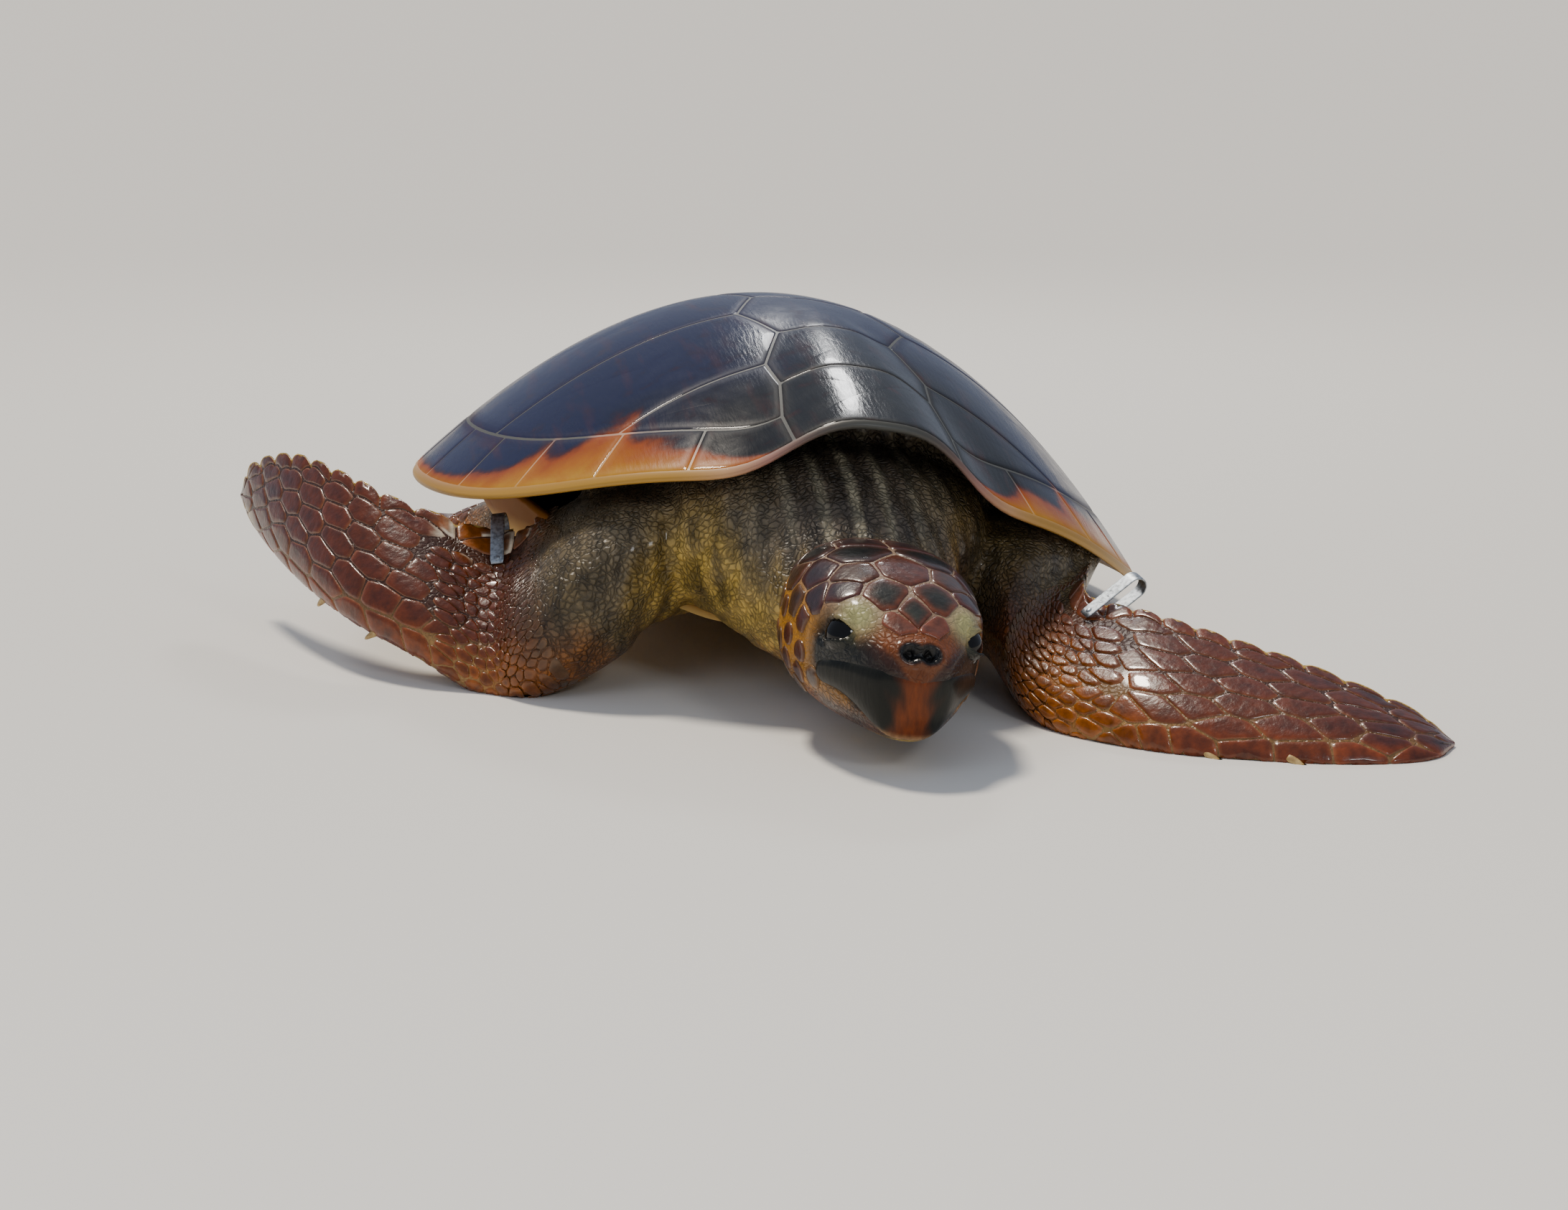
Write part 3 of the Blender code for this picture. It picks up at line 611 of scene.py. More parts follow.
class Limb:
    """A limb's surface, read by distance along its middle and by a lap round its section.

    A lap of 0 to 1 goes from the leading to the trailing edge over one face, and 1 to 2 comes back
    under the other. Laps are even across the chord, so a scale keeps its width on the way.
    """

    def __init__(self, stations, wrist, pitch, notch, samples=400):
        self.last = len(stations) - 1
        self.wrist = wrist  # station where the blade begins
        self.pitch = pitch  # length of one trailing scale
        self.notch = notch  # how deep the edge is cut between two of them
        self.where = np.linspace(0, self.last, samples)
        self.rows = curve(stations, self.where)
        self.middle = (self.rows[:, :3] + self.rows[:, 3:6]) / 2
        steps = np.linalg.norm(np.diff(self.middle, axis=0), axis=1)
        self.distance = np.append(0, np.cumsum(steps))
        along = unit(np.gradient(self.middle, axis=0))
        self.normal = unit(np.cross(along, self.rows[:, 3:6] - self.rows[:, :3]))
        self.length = self.distance[-1]
        self.upper = np.sign(self.normal[samples // 2, 2])  # 1 where laps of 0 to 1 are the upper face

    def at(self, distance, values):
        """Values kept along the limb, read at distances."""
        parts = values.reshape(len(values), -1)
        read = [np.interp(distance, self.distance, part) for part in parts.T]
        return np.stack(read, axis=-1) if values.ndim > 1 else read[0]

    def reach(self, station):
        """The distance of a station."""
        return np.interp(station, self.where, self.distance)

    def scallop(self, distance):
        """How far the trailing edge is cut in between its scales, beyond the wrist."""
        beyond = distance - self.reach(self.wrist)
        between = (1 - np.abs(np.sin(math.pi * beyond / self.pitch))) ** 1.5
        ends = fade(beyond, -0.01, 0.02) * (1 - fade(distance, self.length - 0.03, self.length))
        return self.notch * between * ends

    def top(self, across):
        """The lap of a place on the upper face, 0 at the leading and 1 at the trailing edge."""
        return across if self.upper > 0 else 2 - across

    def chord(self, distance):
        """The limb's breadth from edge to edge."""
        return np.linalg.norm(self.at(distance, self.rows[:, 3:6] - self.rows[:, :3]), axis=-1)

    def side(self, lap):
        """How far across from the leading edge a lap lies, and 1 on the first face or -1 on the other."""
        lap = np.mod(lap, 2)
        return np.where(lap <= 1, lap, 2 - lap), np.where(lap <= 1, 1, -1)

    def place(self, distance, lap, lift=0.0):
        """Points on the surface, raised along its outward normal by the lift."""
        across, face = self.side(lap)
        angle = np.arccos(np.clip(1 - 2 * across, -1, 1)) * face
        row = self.at(distance, self.rows)
        chord = row[..., 3:6] - row[..., :3]
        wide = np.linalg.norm(chord, axis=-1)
        normal = self.at(distance, self.normal)
        thick = row[..., 6] / 2
        swell = (bulge(angle + 0.02) - bulge(angle - 0.02)) / 0.04 * thick
        across = -np.cos(angle)
        across = across - 2 * self.scallop(distance) * fade(across, 0.5, 1.0) / wide
        point = (row[..., :3] + row[..., 3:6]) / 2 + chord * across[..., None] / 2
        point = point + normal * (thick * bulge(angle))[..., None]
        out = normal * (wide / 2 * np.sin(angle))[..., None] - unit(chord) * swell[..., None]
        return point + unit(out) * np.asarray(lift)[..., None] + SHIFT


def limb_grid(limb, first, last, rows, around):
    """Distances and laps of a grid of points between two stations, close together at both edges."""
    distance = np.linspace(limb.reach(first), limb.reach(last), rows)[:, None]
    angle = round_turn(around)
    lap = np.where(angle <= math.pi, (1 - np.cos(angle)) / 2, 2 - (1 - np.cos(angle)) / 2)
    return distance + 0 * lap, lap + 0 * distance


def limb_loft(limb, first, last, rows, around, inset=SKIN_DEPTH):
    """The limb's flesh between two stations, inside the scales by the inset but never past its middle."""
    distance, lap = limb_grid(limb, first, last, rows, around)
    thick = limb.at(distance, limb.rows[:, 6])
    depth = np.minimum(inset, thick * (0.12 + 0.10 * (1 + np.cos(round_turn(around)))))
    return closed_loft(above(limb.place(distance, lap, -depth), FLESH_CLEAR))


def tube_place(stations, where, angle, lift):
    """A round form: a curve of centres with half breadth along x and half height square to the way."""
    row = curve(stations, where)
    fine = np.linspace(0, len(stations) - 1, 200)
    centres = curve(stations, fine)[:, :3]
    along = unit(np.gradient(centres, axis=0))
    along = np.stack([np.interp(where, fine, part) for part in along.T], axis=-1)
    up = unit(np.cross(np.array([1.0, 0, 0]), along))
    up = up * np.sign(up[..., 2:])
    side = np.array([1.0, 0, 0]) * ((row[..., 3] + lift) * np.cos(angle))[..., None]
    return row[..., :3] + side + up * ((row[..., 4] + lift) * np.sin(angle))[..., None] + SHIFT


def tube_loft(stations, rows, around, lift):
    """The whole round form, raised by the lift and closed at both ends."""
    where = np.linspace(0, len(stations) - 1, rows)[:, None] + np.zeros(around)
    angle = round_turn(around) + np.zeros((rows, 1))
    return closed_loft(above(tube_place(stations, where, angle, lift), FLESH_CLEAR))


TRUNK_GAP = 0.003  # between the flesh and both shells
TRUNK_INSET = 0.007
TRUNK_CLEAR = 0.006  # above the floor
TRUNK_WAIST = 0.70  # how far it is drawn in, as a share of its half breadth


def trunk_loft():
    """The flesh between the shells: drawn in along the flanks, where the shells close on each other."""
    turn = round_turn(120)
    waist = 1 - TRUNK_WAIST * np.clip((np.abs(np.sin(turn)) - 0.80) / 0.15, 0, 1)
    drop, lift = SHELL_SHEET + TRUNK_GAP, PLASTRON_SHEET + TRUNK_GAP
    top = [level_dome(share * waist, turn, drop, TRUNK_INSET) for share in (0.24, 0.48, 0.66, 0.80)]
    low = [level_belly(share * waist, turn, lift) for share in (0.82, 0.75, 0.63, 0.43, 0.21)]
    return closed_loft(above(tilted(np.array(top + low)), TRUNK_CLEAR) + SHIFT)


FORE_WRIST = 3.0  # station
HIND_ANKLE = 1.8
fore_right = Limb(RIGHT_FORELIMB, FORE_WRIST, 0.030, 0.0060)
fore_left = Limb(LEFT_FORELIMB, FORE_WRIST, 0.024, 0.0045)
hind_right = Limb(RIGHT_HINDLIMB, HIND_ANKLE, 0.015, 0.0015)
hind_left = Limb(LEFT_HINDLIMB, HIND_ANKLE, 0.015, 0.0015)
arms = [limb_loft(limb, 0, FORE_WRIST + 0.5, 80, 72, 2 * SKIN_DEPTH) for limb in (fore_right, fore_left)]
thighs = [limb_loft(limb, 0, HIND_ANKLE + 0.4, 40, 60, 2 * SKIN_DEPTH) for limb in (hind_right, hind_left)]
BLADES = (
    (fore_right, FORE_WRIST - 0.2, 8, 130, 48), (fore_left, FORE_WRIST - 0.2, 8, 130, 48),
    (hind_right, HIND_ANKLE - 0.2, 5, 50, 40), (hind_left, HIND_ANKLE - 0.2, 5, 50, 40),
)  # limb, first and last station, rows and points round
blades = [limb_loft(*blade) for blade in BLADES]
round_forms = [tube_loft(NECK, 60, 120, -SKIN_DEPTH), tube_loft(TAIL, 40, 40, -SKIN_DEPTH)]
points, faces = joined([trunk_loft(), *arms, *thighs, *round_forms])
rough_flesh = make_mesh("flesh", points, faces)
fused = bpy.data.objects.new("flesh", rough_flesh)
bpy.context.scene.collection.objects.link(fused)
fuse = fused.modifiers.new("fuse", "REMESH")
fuse.mode = "VOXEL"
fuse.voxel_size = VOXEL
soften = fused.modifiers.new("soften", "SMOOTH")
soften.factor = 0.5
soften.iterations = 6


def taken(source):
    """The object's mesh with its modifiers applied."""
    return bpy.data.meshes.new_from_object(source.evaluated_get(bpy.context.evaluated_depsgraph_get()))


def mesh_arrays(mesh):
    """A mesh's points, normals and triangles."""
    points = np.empty(len(mesh.vertices) * 3, dtype=np.float32)
    mesh.vertices.foreach_get("co", points)
    normals = np.empty(len(mesh.vertices) * 3, dtype=np.float32)
    mesh.vertices.foreach_get("normal", normals)
    mesh.calc_loop_triangles()
    corners = np.empty(len(mesh.loop_triangles) * 3, dtype=np.int32)
    mesh.loop_triangles.foreach_get("vertices", corners)
    return points.reshape(-1, 3).astype(float), normals.reshape(-1, 3).astype(float), corners.reshape(-1, 3)


fused_mesh = taken(fused)
fused.modifiers.clear()
fused.data = fused_mesh
points, _, _ = mesh_arrays(fused_mesh)
share, _ = to_shell(points[:, 0] - SHIFT[0], points[:, 1] - SHIFT[1])
inside = fused.vertex_groups.new(name="inside")
inside.add(np.flatnonzero(share < HIDDEN_SHARE).tolist(), 1.0, "REPLACE")
thin = fused.modifiers.new("thin", "DECIMATE")
thin.ratio = 0.72
thin.vertex_group = "inside"
thin.vertex_group_factor = 10.0
flesh, flesh_normals, flesh_faces = mesh_arrays(taken(fused))
bpy.data.objects.remove(fused)


CEILING_GAP = 0.0015  # least air between the flesh and the shell over it


def under_shell(points):
    """Points under the carapace are held below its hollow side, so that no flesh comes through it."""
    x, y, z = np.moveaxis(points - SHIFT, -1, 0)
    x, z = turned(x, z, -BODY_ROLL)
    y, z = turned(y, z, -BODY_PITCH)
    share, turn = to_shell(x, y)
    sheet = RIM_SHEET + (SHELL_SHEET - RIM_SHEET) * np.clip((1 - share) / 0.10, 0, 1)
    ceiling = level_dome(np.minimum(share, 1), turn, sheet + CEILING_GAP)[..., 2]
    held = np.stack([x, y, np.where(share < 1.0, np.minimum(z, ceiling), z)], axis=-1)
    return tilted(held) + SHIFT


# The head: broad and blunt, scaled all over, with heavy lids and a strong beak. Its skin is a
# finer form of its own, joined into the same skin, so the neck folds round the back of it.

HEAD_BACK = (0.010, -0.338, 0.076)
HEAD_LENGTH = 0.170
HEAD_PITCH = math.radians(-7.0)
HEAD_ROLL = math.radians(8.0)
HEAD_SECTIONS = (  # share of the length, half breadth, height above and depth below the axis
    (0.00, 0.048, 0.042, 0.046),
    (0.14, 0.058, 0.049, 0.050),
    (0.34, 0.062, 0.053, 0.051),
    (0.54, 0.057, 0.051, 0.048),
    (0.70, 0.048, 0.044, 0.044),
    (0.84, 0.036, 0.034, 0.040),
    (0.94, 0.025, 0.026, 0.036),
    (1.00, 0.013, 0.013, 0.029),
)
HEAD_EXPONENT = 2.5
EYE_RADIUS = 0.0135
EYE_CENTRE = np.array([0.70 * HEAD_LENGTH, 0.036, 0.015])  # forward, out, up
EYE_AXIS = np.array([0.30, 0.86, 0.36])
LID_HALF_LENGTH = 0.0122
LID_HALF_HEIGHT = 0.0064
NOSE_ROUNDING = 0.955  # share of the length where the snout starts to close
MOUTH = ((0.40, -0.016), (0.46, -0.018), (0.60, -0.012), (0.76, -0.014), (0.90, -0.021), (1.10, -0.026))
fine_rows = curve(HEAD_SECTIONS, np.linspace(0, 7, 400))


def head_place(forward, out, up):
    """From the head's own axis (metres forward, out to the left and up) to the body."""
    out, up = turned(out, up, HEAD_ROLL)
    y = HEAD_BACK[1] - forward * math.cos(HEAD_PITCH) + up * math.sin(HEAD_PITCH)
    z = HEAD_BACK[2] + forward * math.sin(HEAD_PITCH) + up * math.cos(HEAD_PITCH)
    return np.stack(np.broadcast_arrays(HEAD_BACK[0] + out, y, z), axis=-1) + SHIFT


def head_size(share):
    """Half breadth, height and depth at a share of the length, rounded off to nothing at the tip."""
    sizes = [np.interp(share, fine_rows[:, 0], fine_rows[:, k]) for k in (1, 2, 3)]
    beyond = np.clip((share - NOSE_ROUNDING) / (1 - NOSE_ROUNDING), 0, 1)
    cap = np.sqrt(1 - beyond**2 * 0.9995)
    return [size * cap for size in sizes]


def head_form(share, angle, lift=0.0):
    """Flat-topped oval sections, |x|^n + |z|^n = 1 with the head's exponent n, swelling over each eye."""
    wide, high, deep = head_size(share)
    cosine, sine = np.cos(angle), np.sin(angle)
    across = np.sign(cosine) * np.abs(cosine) ** (2 / HEAD_EXPONENT)
    rise = np.sign(sine) * np.abs(sine) ** (2 / HEAD_EXPONENT)
    brow = np.exp(-(((share - 0.665) / 0.10) ** 2)) * np.exp(-(((sine - 0.6) / 0.3) ** 2))
    out = (wide + lift) * across + 0.004 * brow * np.sign(cosine)
    up = np.where(sine > 0, high + lift, deep + lift) * rise + 0.002 * brow
    return np.stack(np.broadcast_arrays(share * HEAD_LENGTH, out, up), axis=-1)


def bell(distance, width):
    """1 at no distance, falling away as a Gauss curve of that width."""
    return np.exp(-((distance / width) ** 2))


def eye_frame(side):
    """The eye's centre, its outward axis, and the lids' directions forward and up."""
    flip = np.array([1, side, 1])
    axis = unit(EYE_AXIS * flip)
    upward = unit(np.array([0, 0, 1.0]) - axis * axis[2])
    return EYE_CENTRE * flip, axis, np.cross(upward, axis) * side, upward


def lid_measure(points, side):
    """How far out from the eye's opening a point lies: 1 on its almond edge. Also ahead, above, out."""
    centre, axis, ahead, upward = eye_frame(side)
    rel = points - centre
    x, y, depth = rel @ ahead, rel @ upward, rel @ axis
    tilt = 0.30  # the opening slants down towards the beak
    x, y = x * math.cos(tilt) - y * math.sin(tilt), y * math.cos(tilt) + x * math.sin(tilt)
    return np.hypot(x / LID_HALF_LENGTH, y / LID_HALF_HEIGHT), x, y, depth


def mouth_height(share):
    """The height of the line of the mouth, at a share of the head's length."""
    spots = np.array(MOUTH)
    return np.interp(share, spots[:, 0], spots[:, 1])


NOSTRIL = np.array([0.954 * HEAD_LENGTH, 0.0054, 0.0218])
NOSE_TOP = np.array([0.925 * HEAD_LENGTH, 0.0, 0.0318])


def nostril_measure(points, side):
    """Distance from a nostril's middle, counted so that the two run together as one wide opening."""
    return np.linalg.norm((points - NOSTRIL * (1, side, 1)) * (0.75, 0.72, 0.95), axis=-1)


LID_SWELL = head_form(np.array(0.745), np.array(math.radians(48)))
LID_REACH = 2.2  # how far out from the eye's opening the lids are formed
EYE_GAP = 0.0004  # between the eyeball and the lids
EYE_CUT = 0.0060  # how far the opening is sunk, to let the eyeball show
CREASE_DEPTH = 0.0011
NOSTRIL_DEPTH = 0.0065
MOUTH_DEPTH = 0.0014


def head_detail(points, normals):
    """Sockets with lids round the eyes, nostrils, the swelling over each lid, and the mouth's line."""
    share = points[..., 0] / HEAD_LENGTH
    for side in (1, -1):
        flip = np.array([1, side, 1])
        swell = np.linalg.norm(points - LID_SWELL * flip, axis=-1)
        points = points + normals * (0.0022 * bell(swell, 0.011))[..., None]
        measure, x, y, depth = lid_measure(points, side)
        _, axis, _, _ = eye_frame(side)
        near = (depth > 0.001) & (measure < LID_REACH)
        radius = np.hypot(x, y)
        ball = np.sqrt(np.maximum((EYE_RADIUS + EYE_GAP) ** 2 - radius**2, 0.003**2))
        thick = np.where(y > 0, 0.0032, 0.0018)
        lid = ball + thick * fade(measure, 0.98, 1.16)
        hold = 1 - fade(measure, 1.15, 1.9)
        crease = bell(measure - 1.42, 0.07) * 0.5 + bell(measure - 1.78, 0.12)
        crease = (crease + bell(measure - 2.10, 0.08) * 0.5) * CREASE_DEPTH * fade(y, -0.004, 0.001)
        target = depth * (1 - hold) + np.maximum(lid, depth * 0.2) * hold - crease
        target = target - EYE_CUT * (1 - fade(measure, 0.90, 1.0))
        points = points + np.where(near, target - depth, 0)[..., None] * axis
        hole = nostril_measure(points, side)
        points = points - normals * (NOSTRIL_DEPTH * (1 - fade(hole, 0.0005, 0.0055)))[..., None]
        points = points + normals * (0.0009 * bell(hole - 0.0066, 0.0014))[..., None]
    knob = np.linalg.norm(points - NOSE_TOP, axis=-1)
    points = points + normals * (0.0012 * bell(knob, 0.0065))[..., None]
    line = points[..., 2] - mouth_height(share)
    lips = fade(share, 0.42, 0.50)
    return points - normals * (MOUTH_DEPTH * bell(line, 0.0011) * lips)[..., None]


def head_surface(share, angle, lift=0.0):
    """The detailed head in its own axes: share of its length, angle up from its left side, and lift."""
    step = 0.002
    forward = head_form(share + step, angle) - head_form(share - step, angle)
    round_it = head_form(share, angle + step) - head_form(share, angle - step)
    normal = unit(np.cross(round_it, forward))
    points = head_form(share, angle, -SKIN_DEPTH)
    outward = points * (0, 1, 1) + 1e-9
    normal = normal * np.sign(np.einsum("...k,...k->...", normal, outward))[..., None]
    return head_detail(points, normal) + normal * (np.asarray(lift) + SKIN_DEPTH)[..., None]


round_angle = np.linspace(0, 2 * math.pi, 1441)
round_ring = head_form(np.full(len(round_angle), 0.5), round_angle)
round_arc = np.append(0, np.cumsum(np.linalg.norm(np.diff(round_ring, axis=0), axis=1)))
round_arc = round_arc / round_arc[-1] * 2 * math.pi


def arc_of(angle):
    """The even way round the head's section, 0 to a full turn, at an angle."""
    return np.interp(np.mod(angle, 2 * math.pi), round_angle, round_arc)


def angle_of(arc):
    """The angle at an even way round the head's section."""
    return np.interp(np.mod(arc, 2 * math.pi), round_arc, round_angle)


HEAD_ROWS = 130
HEAD_COLUMNS = 180
HEAD_CLEAR = 0.002  # least height above the floor
CROWDED_FROM = 0.93  # share of the length where the rows start to crowd towards the tip
nose_rows = CROWDED_FROM + 0.0695 * np.sin(np.linspace(0.06, math.pi / 2, 28))
share = np.append(np.linspace(0.02, CROWDED_FROM, HEAD_ROWS - len(nose_rows)), nose_rows)
angle_grid = angle_of(round_turn(HEAD_COLUMNS)) + np.zeros((HEAD_ROWS, 1))
head_local = head_surface(np.minimum(share, 0.9975)[:, None] + 0 * angle_grid, angle_grid, -SKIN_DEPTH)
head_points, head_faces = closed_loft(above(head_place(*np.moveaxis(head_local, -1, 0)), HEAD_CLEAR))


def mix(first, second, share):
    """Colours between two others, by shares of the second."""
    return first + (second - first) * np.asarray(share)[..., None]


def with_poles(values):
    """Rows of a loft's values with the first and the last repeated for its two poles."""
    return np.vstack([values, values[:1], values[-1:]])


GREY_BROWN, PALE_STREAK, SAFFRON = colour("#6c604a"), colour("#b8ae90"), colour("#c4a24e")
NECK_BROWN, OLIVE, ARM_OLIVE = colour("#4c4236"), colour("#5c4a1c"), colour("#5c4e34")
ORANGE, CREAM, WRIST_BROWN = colour("#a86010"), colour("#c9a552"), colour("#4a2413")
# The head's dark green and its face and jaw browns below are partly painted shade.
GROOVE_BROWN, SHADE_GREEN, LID_GREEN = colour("#3c1e10"), colour("#0c0d08"), colour("#a29c68")
CHEEK, SNOUT, NOSTRIL_SHADE_BLACK = colour("#a87018"), colour("#6e3606"), colour("#060505")
FACE_SHADE_BROWN, JAW_SHADE_BROWN, STRAW_SKIN = colour("#2c1208"), colour("#7c4410"), colour("#a8804a")
CROWN_TAN = colour("#8f7660")


def body_marking(points):
    """Grey-brown above, saffron down the sides in upright streaks, orange and cream below."""
    x, y, z = np.moveaxis(points - SHIFT, -1, 0)
    streak = 0.5 + 0.5 * np.sin(260 * x + 9 * np.sin(30 * y) + 40 * z)
    sideways = np.abs(x - 0.006) / 0.118
    beside = fade(sideways, 0.50, 0.72) * (1 - fade(sideways, 1.10, 1.30)) * fade(-y, 0.19, 0.25)
    level = z - 0.118 + 0.045 * sideways**2 + 0.012 * streak - 0.055 * beside
    tone = mix(NECK_BROWN, GREY_BROWN, fade(sideways, 0.25, 0.60))
    tone = mix(mix(SAFFRON, OLIVE, 0.75 * (1 - streak) * beside), tone, fade(level, -0.045, 0.010))
    tone = mix(ORANGE, tone, fade(z + 0.010 * streak, 0.020, 0.060))
    tone = mix(CREAM, tone, fade(z, 0.006, 0.024))
    crown = np.exp(-(((x - 0.008) / 0.045) ** 2)) * fade(z, 0.105, 0.125) * fade(-y, 0.20, 0.26)
    lines = np.clip(np.sin(2 * math.pi * (x - 0.003) / 0.021), 0, 1) ** 2
    return mix(tone, PALE_STREAK, 0.55 * crown * lines)


def limb_marking(limb, distance, lap):
    """The skin between the scales: olive at the shoulder, brown at the wrist, dark on the blade.

    It is straw-coloured and orange along the leading edge and yellow underneath.
    """
    across, face = limb.side(lap)
    station = np.interp(distance, limb.distance, limb.where)
    tone = mix(ARM_OLIVE, WRIST_BROWN, fade(station, limb.wrist - 1.4, limb.wrist - 0.5))
    tone = mix(tone, GROOVE_BROWN, fade(station, limb.wrist - 0.4, limb.wrist + 0.6))
    wide = 0.45 if limb is fore_left else 0.22
    lead = (1 - fade(across, 0.10, wide + 0.10)) * fade(station, limb.wrist - 1.0, limb.wrist)
    pale = mix(STRAW_SKIN, ORANGE, 1 - fade(station, limb.wrist - 0.5, limb.wrist + 0.5))
    tone = mix(tone, pale, 0.85 * lead * (1 - 0.5 * fade(station, limb.wrist, limb.wrist + 2)))
    under = np.where(face * limb.upper > 0, 0.0, 0.85 * fade(across, 0.02, 0.14))
    return mix(tone, mix(SAFFRON, CREAM, 0.5), under * fade(station, limb.wrist - 1.0, limb.wrist))


def head_marking(share, angle):
    """The skin between the head's plates: tan on the crown, amber cheeks. It is dark round the eyes and down
    the sides of the snout, and brown under the jaw, partly its own tone and partly painted shade.
    """
    away = np.degrees(np.abs(np.mod(angle - math.pi / 2 + math.pi, 2 * math.pi) - math.pi))
    tone = mix(CROWN_TAN, CHEEK, fade(away, 48, 78))
    snout = SNOUT * (1 - 0.2 * fade(share, 0.93, 0.98))[..., None]
    tone = mix(tone, snout, fade(share, 0.76, 0.86) * (1 - fade(away, 90, 120)))
    blush = 0.5 + 0.5 * np.sin(9 * share * math.pi + away / 9)
    # Painted shade, in part: the sides of the snout in front of the eyes darken to brown and green-black.
    side_face_shade = fade(away + 9 * blush, 38, 62) * (1 - fade(away, 118, 130)) * fade(share, 0.80, 0.86)
    tone = mix(tone, mix(FACE_SHADE_BROWN, SHADE_GREEN, fade(away, 50, 75)), 0.92 * side_face_shade)
    # Painted shade: the lower sides of the jaw are brown, darker towards the front, with cream only along
    # the chin's middle.
    jaw = mix(JAW_SHADE_BROWN, FACE_SHADE_BROWN, 0.8 * fade(share + 0.04 * blush, 0.58, 0.74))
    tone = mix(tone, mix(jaw, CREAM, fade(away, 148, 172)), fade(away, 112, 130))
    tone = mix(tone, GREY_BROWN, (1 - fade(share, 0.03, 0.16)) * (1 - fade(away, 60, 100)))
    lid = np.exp(-(((share - 0.755) / 0.062) ** 2) - ((away - 44) / 15) ** 2)
    # Painted shade, in part: a dark green-black patch over each eye's socket.
    socket = np.exp(-((((share - 0.75) / 0.155) ** 2 + ((away - 84) / 27) ** 2) ** 2))
    tone = mix(tone, SHADE_GREEN, np.clip(1.3 * socket, 0, 1))
    return mix(tone, LID_GREEN, np.clip(1.25 * lid, 0, 1))


# Wet wrinkled skin: small soft lumps and creases under water, so the light breaks into flecks. Its
# colour is darkened as painted shade in the creases between the lumps and in the hollows of the folds.
skin_finish, tree, shader = new_finish("wet_wrinkled_skin", 0.42, coat=0.28, coat_rough=0.12, specular=0.28)
place = add(tree, "TexCoord", out="Object")
tint = add(tree, "Attribute", attribute_name="tint")
rumple = add(tree, "Attribute", attribute_name="rumple", out="Fac")
stir = add(tree, "TexNoise", {"Vector": place, "Scale": 55.0, "Detail": 3.0}, out="Color")  # 18 mm
swayed = {0: stir, 1: (0.014, 0.014, 0.014), 2: place}
drift = add(tree, "VectorMath", swayed, operation="MULTIPLY_ADD")
lumps = add(tree, "TexVoronoi", {"Vector": drift, "Scale": 230.0}, feature="DISTANCE_TO_EDGE")  # 4 mm
crease = add(tree, "MapRange", {0: lumps, 1: 0.0, 2: 0.22})
long_way = add(tree, "Mapping", {"Vector": drift, "Scale": (120.0, 34.0, 46.0)})  # 8 by 30 mm folds
fold = add(tree, "TexNoise", {"Vector": long_way, "Scale": 1.0, "Detail": 4.0})
mottle = add(tree, "TexNoise", {"Vector": place, "Scale": 85.0, "Detail": 5.0})  # 12 mm spots
# Painted shade: the colour darkens where the folds and the lumps' creases sink in the bump below; the spots
# are the skin's own mottle.
deep = add(tree, "MapRange", {0: fold, 1: 0.35, 2: 0.65, 3: 0.55, 4: 1.35})
spots = add(tree, "MapRange", {0: mottle, 1: 0.3, 2: 0.7, 3: 0.75, 4: 1.25})
hollow = add(tree, "MapRange", {0: crease, 3: 0.6, 4: 1.0})
mottle_and_crease_shade = add(tree, "Math", {0: deep, 1: spots}, operation="MULTIPLY")
mottle_and_crease_shade = add(tree, "Math", {0: mottle_and_crease_shade, 1: hollow}, operation="MULTIPLY")
plain = add(tree, "Mix", {0: rumple, 2: 1.0, 3: mottle_and_crease_shade})
shade = add(tree, "VectorMath", {0: tint, "Scale": plain}, operation="SCALE")
tree.links.new(shade, shader.inputs["Base Color"])
both = add(tree, "Math", {0: fold, 1: 1.6, 2: crease}, operation="MULTIPLY_ADD")
relief = add(tree, "Math", {0: both, 1: rumple}, operation="MULTIPLY")
bump = add(tree, "Bump", {"Height": relief, "Strength": 0.8, "Distance": 0.0016})
tree.links.new(bump, shader.inputs["Normal"])

PLEAT_WIDTH = 0.0155
PLEAT_DEPTH = 0.0009
x, y, z = np.moveaxis(flesh - SHIFT, -1, 0)
neck_part = fade(-y, 0.17, 0.24) * fade(z, 0.02, 0.06) * (1 - fade(np.abs(x), 0.10, 0.14))
pleat = np.sin(2 * math.pi * (x + 0.25 * z * np.sign(x)) / PLEAT_WIDTH + 2.5 * np.sin(22 * y))
flesh = under_shell(flesh - flesh_normals * (PLEAT_DEPTH * neck_part * (1 - pleat))[:, None])
limb_tints = []
for limb, *grid in BLADES:
    tints = limb_marking(limb, *limb_grid(limb, *grid))
    limb_tints.append(with_poles(tints.reshape(-1, 3)))


